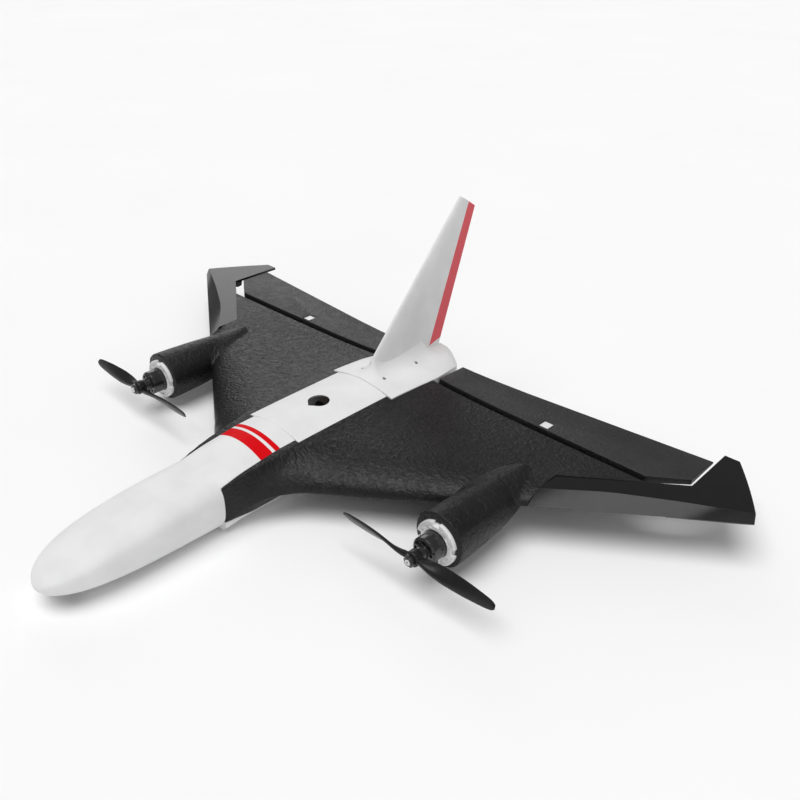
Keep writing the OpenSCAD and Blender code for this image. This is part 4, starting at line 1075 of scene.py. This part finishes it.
def blade_ring(share, disc_y, flip, count=14):
    """Blade section: flat behind, round in front, turned to its pitch."""
    r = share * PROP_R
    twist = math.atan(PROP_PITCH / (2 * math.pi * max(r, 10)))
    c, t = chord(share), blade_t(share)
    sin, cos = math.sin(twist), math.cos(twist)
    section = []
    for k in range(count + 1):
        u = (k / count) ** 1.5
        section.append((c * (u - 0.5), -t * (0.16 + 2.9 * math.sqrt(u) * (1 - u) * (1 - 0.35 * u))))
    for k in range(count, -1, -1):
        u = (k / count) ** 1.5
        section.append((c * (u - 0.5), 0.12 * t))
    return [
        (MOTOR_X + flip * r, disc_y + p * sin + q * cos, MOTOR_Z + flip * (p * cos - q * sin))
        for p, q in section
    ]


def propellers(finish):
    """Two-bladed propeller on a round hub."""
    hub_front = datum_box("prop_nut_right")[1].y
    hub_back = datum_box("motor_bell_right")[0].y
    disc = (hub_front + hub_back) / 2
    shares = [*steps(0.03, 0.9, 44), *steps(0.91, 1, 14)]
    parts = []
    for flip in (1, -1):
        parts.append(skin("blade", [blade_ring(s, disc, flip) for s in shares]))
    for part in parts:
        soften(part, 0.12, 2, 50)
    parts.append(on_motor("hub", [
        (hub_front, HUB_BORE), (hub_front, HUB_R - 0.8), (hub_front + 0.3, HUB_R - 0.25),
        (hub_front + 0.9, HUB_R), (hub_back - 0.8, HUB_R), (hub_back - 0.2, HUB_R - 0.3),
        (hub_back, HUB_R - 0.9), (hub_back, HUB_BORE)]))
    pair(join("propeller", parts), "propeller_blades", finish, "rotor_{}", "prop_black",
         "propeller_{}", angle=40)


def prop_nuts(finish):
    """Hexagonal nut with chamfered corners and a round collar."""
    nut = soften(node_copy("prop_nut_right", "nut"), 0.3, 2, 30)
    pair(nut, "prop_nut_hex", finish, "rotor_{}", "anodised_black", "prop_nut_{}")


def shafts(finish):
    stud = soften(node_copy("motor_shaft_right", "stud"), 0.15, 2, 30)
    pair(stud, "threaded_stud", finish, "rotor_{}", "steel", "motor_shaft_{}")


# ---- repeated pieces -------------------------------------------------------------------


def ring_nodes(nodes, link, given, place_on):
    """Turns each copy outwards on a circle, and stands the circle up round the Y axis."""
    circle = nodes.new("GeometryNodeMeshCircle")
    link(given.outputs["Count"], circle.inputs["Vertices"])
    link(given.outputs["Radius"], circle.inputs["Radius"])
    point = nodes.new("GeometryNodeInputPosition")
    turn = nodes.new("FunctionNodeAlignRotationToVector")
    turn.axis = "X"
    turn.pivot_axis = "Z"
    link(point.outputs[0], turn.inputs["Vector"])
    link(turn.outputs[0], place_on.inputs["Rotation"])
    link(circle.outputs["Mesh"], place_on.inputs["Points"])
    stand = nodes.new("GeometryNodeTransform")
    stand.inputs["Rotation"].default_value = (math.pi / 2, 0, 0)
    link(place_on.outputs["Instances"], stand.inputs["Geometry"])
    link(given.outputs["Centre"], stand.inputs["Translation"])
    return stand


def instance_tree(name, ring):
    """Node tree that sets copies of a part on points, or round a circle about Y."""
    tree = bpy.data.node_groups.new(name, "GeometryNodeTree")
    face = tree.interface
    face.new_socket("Geometry", in_out="INPUT", socket_type="NodeSocketGeometry")
    part = face.new_socket("Part", in_out="INPUT", socket_type="NodeSocketObject")
    finish = face.new_socket("Finish", in_out="INPUT", socket_type="NodeSocketMaterial")
    sockets = {"Part": part, "Finish": finish}
    if ring:
        sockets["Count"] = face.new_socket("Count", in_out="INPUT", socket_type="NodeSocketInt")
        sockets["Radius"] = face.new_socket(
            "Radius", in_out="INPUT", socket_type="NodeSocketFloat")
        sockets["Centre"] = face.new_socket(
            "Centre", in_out="INPUT", socket_type="NodeSocketVector")
    face.new_socket("Geometry", in_out="OUTPUT", socket_type="NodeSocketGeometry")
    nodes, link = tree.nodes, tree.links.new
    given = nodes.new("NodeGroupInput")
    out = nodes.new("NodeGroupOutput")
    info = nodes.new("GeometryNodeObjectInfo")
    place_on = nodes.new("GeometryNodeInstanceOnPoints")
    realize = nodes.new("GeometryNodeRealizeInstances")
    paint = nodes.new("GeometryNodeSetMaterial")
    link(given.outputs["Part"], info.inputs["Object"])
    link(info.outputs["Geometry"], place_on.inputs["Instance"])
    if ring:
        stand = ring_nodes(nodes, link, given, place_on)
        link(stand.outputs["Geometry"], realize.inputs["Geometry"])
    else:
        link(given.outputs["Geometry"], place_on.inputs["Points"])
        link(place_on.outputs["Instances"], realize.inputs["Geometry"])
    link(realize.outputs["Geometry"], paint.inputs["Geometry"])
    link(given.outputs["Finish"], paint.inputs["Material"])
    link(paint.outputs["Geometry"], out.inputs["Geometry"])
    return tree, {name: socket.identifier for name, socket in sockets.items()}


def grow(name, points, tree, names, **values):
    """Runs a node tree on a mesh of points and keeps the result as a plain mesh."""
    mesh = bpy.data.meshes.new(name)
    mesh.from_pydata([tuple(place(p)) for p in points], [], [])
    obj = bpy.data.objects.new(name, mesh)
    bpy.context.scene.collection.objects.link(obj)
    modifier = obj.modifiers.new("pieces", "NODES")
    modifier.node_group = tree
    for key, value in values.items():
        modifier[names[key]] = value
    part = values["Part"]
    bake(obj)
    bpy.data.objects.remove(part)
    return obj


def at_origin(obj, centre):
    """Moves a part's mesh so that the given datum point is its origin."""
    obj.data.transform(Matrix.Translation(-place(centre)))
    return obj


def fin_screws(finish):
    """Countersunk heads with a cross slot, in the recesses of the saddle."""
    head = lathe("head", (0, 0, 0), (0, 0, 1), [
        (-1, 0.9), (-0.4, 0.9), (0, 1.2), (0.2, SCREW_HEAD_R), (0.5, SCREW_HEAD_R - 0.15),
        (0.7, 0.9)], 40)
    slots = []
    for wide, deep in ((0.2, 0.95), (0.95, 0.2)):
        slots.append(prism("slot", [(-wide, -deep), (wide, -deep), (wide, deep), (-wide, deep)],
                           0.4, 2))
    carve(head, *slots)
    at_origin(head, (0, 0, 0))
    spots = [(x, y, saddle_top(x, y) - SCREW_RECESS) for x, y in SCREW_SPOTS]
    tree, names = instance_tree("parts_at_points", False)
    screws = grow("fin_screw_heads", spots, tree, names, Part=head, Finish=finish)
    fit(screws, finish, "airframe", "steel", "fin_screws")


TEETH = 12
COIL_CIRCLE_R = 7.0
COIL_HALF_W = 1.25
COIL_HALF_T = 0.95


def windings(finish):
    """A coil on each stator tooth."""
    low, high = datum_box("stator_right")
    middle = (low.y + high.y) / 2
    half = (high.y - low.y) / 2 + 0.6
    coil = prism("coil", round_box(COIL_HALF_W, -half, half, 0.9), -COIL_HALF_T, COIL_HALF_T)
    at_origin(coil, (0, 0, 0))
    coil.data.transform(Matrix.Rotation(math.pi / 2, 4, "X"))
    tree, names = instance_tree("parts_round_axis", True)
    coils = grow("coils", [], tree, names, Part=coil, Finish=finish, Count=TEETH,
                 Radius=COIL_CIRCLE_R * MM, Centre=place((MOTOR_X, middle, MOTOR_Z)))
    pair(coils, "stator_coils", finish, "airframe", "copper_winding", None)


# ---- carried-over nodes ----------------------------------------------------------------


def paint_nodes(finish, *nodes):
    for node in nodes:
        mesh = frame["nodes"][node].data
        mesh.materials.clear()
        mesh.materials.append(finish)


def both(*names):
    return [f"{name}_{side}" for name in names for side in SIDES]


def equipment(steel, white, black):
    """Finishes of the pieces that keep their frame shapes."""
    paint_nodes(black, "nose_intake", "receiver", *both("servo"))
    paint_nodes(white, *both("control_horn", "servo_arm"))
    paint_nodes(steel, "motor_screws", *both("pushrod", "bearings"))
    paint_nodes(metal("machined_aluminium", (0.75, 0.75, 0.77), 0.3), *both("motor_base"))
    paint_nodes(metal("stator_lamination", (0.3, 0.3, 0.32), 0.4, (1, 6, 1)), *both("stator"))
    paint_nodes(metal("magnet_nickel", (0.7, 0.69, 0.66), 0.2), "hatch_magnets", "bay_magnets",
                *both("bell_magnets"))
    paint_nodes(plywood(), "battery_tray")
    paint_nodes(plastic("battery_wrap", 0.3, 0.35, 0.04, 4, tint=(1.1, 0.9, 0.6)), "battery")
    paint_nodes(woven("strap_fabric", (0.03, 0.03, 0.033)), "battery_strap")
    paint_nodes(board(), "flight_controller", *both("esc"))
    paint_nodes(carbon(), "main_spar", "rear_spar")
    paint_nodes(plastic("hinge_tape", 0.02, 0.3, 0.02, 2), *both("hinge_tape", "elevon_tape"))


# ---- studio ----------------------------------------------------------------------------

CAMERA_AT = (0.5411, -0.4221, 0.4736)
CAMERA_AZIMUTH = 44.03
CAMERA_ELEVATION = 30.40
CAMERA_LENS = 42.07
WORLD_LIGHT = 0.25
FLOOR_HALF = 30


def camera():
    data = bpy.data.cameras.new("camera")
    data.sensor_width = 36
    data.lens = CAMERA_LENS
    data.clip_start, data.clip_end = 0.01, 50
    obj = bpy.data.objects.new("camera", data)
    obj.location = CAMERA_AT
    obj.rotation_euler = (math.radians(90 - CAMERA_ELEVATION), 0, math.radians(CAMERA_AZIMUTH))
    bpy.context.scene.collection.objects.link(obj)
    bpy.context.scene.camera = obj


def sun(name, direction, angle, strength):
    """Soft light from a direction, given as a vector towards the light."""
    data = bpy.data.lights.new(name, "SUN")
    data.angle = math.radians(angle)
    data.energy = strength
    obj = bpy.data.objects.new(name, data)
    obj.rotation_euler = (-Vector(direction)).to_track_quat("-Z", "Y").to_euler()
    bpy.context.scene.collection.objects.link(obj)


def world():
    sky = bpy.data.worlds.new("studio")
    bpy.context.scene.world = sky
    sky.use_nodes = True
    tree = sky.node_tree
    light = tree.nodes["Background"]
    light.inputs["Color"].default_value = grey(1)
    light.inputs["Strength"].default_value = WORLD_LIGHT
    shown = tree.nodes.new("ShaderNodeBackground")
    shown.inputs["Color"].default_value = grey(1)
    shown.inputs["Strength"].default_value = 1.0
    blend = tree.nodes.new("ShaderNodeMixShader")
    path = tree.nodes.new("ShaderNodeLightPath")
    tree.links.new(path.outputs["Is Camera Ray"], blend.inputs[0])
    tree.links.new(light.outputs[0], blend.inputs[1])
    tree.links.new(shown.outputs[0], blend.inputs[2])
    tree.links.new(blend.outputs[0], tree.nodes["World Output"].inputs[0])


def floor():
    """Plain pale floor that keeps the aircraft's soft shadow."""
    bm = bmesh.new()
    half, below = FLOOR_HALF, -0.2 * MM
    outline = ((-half, -half), (half, -half), (half, half), (-half, half))
    bm.faces.new([bm.verts.new((x, y, below)) for x, y in outline])
    obj = new_object("floor", bm)
    f = Finish("floor", 0.9, specular=0.0)
    f.colour(f.blend(f.spread(f.noise(300), 0, 1), grey(0.93), grey(0.95)))
    obj.data.materials.append(f.material)


def studio():
    camera()
    world()
    floor()
    sun("overhead", (0, -0.25, 0.97), 50, 2.1)
    sun("behind", (-0.84, 0.57, 0.42), 30, 0.35)
    sun("beside", (0.85, -0.35, 0.4), 60, 0.6)
    bpy.context.scene.view_settings.view_transform = "Standard"


def build():
    studio()
    steel = metal("steel", (0.72, 0.72, 0.73), 0.25)
    white = plastic("white_plastic", 0.72, 0.35, 0.02, 1.5)
    black = plastic("black_plastic", 0.02, 0.4, 0.03, 0.8)
    anodised = plastic("anodised_black", 0.012, 0.22, 0.01, 1.0, coat=0.4)
    fuselage()
    hatch()
    tail_saddle()
    fin()
    wings()
    tip_covers()
    elevons()
    motor_mounts(white)
    motor_bells(anodised)
    propellers(plastic("prop_black", 0.008, 0.3, 0.02, 1.5, specular=0.35))
    prop_nuts(anodised)
    shafts(steel)
    fin_screws(metal("screw_steel", (0.25, 0.25, 0.26), 0.35))
    windings(winding())
    equipment(steel, white, black)


build()
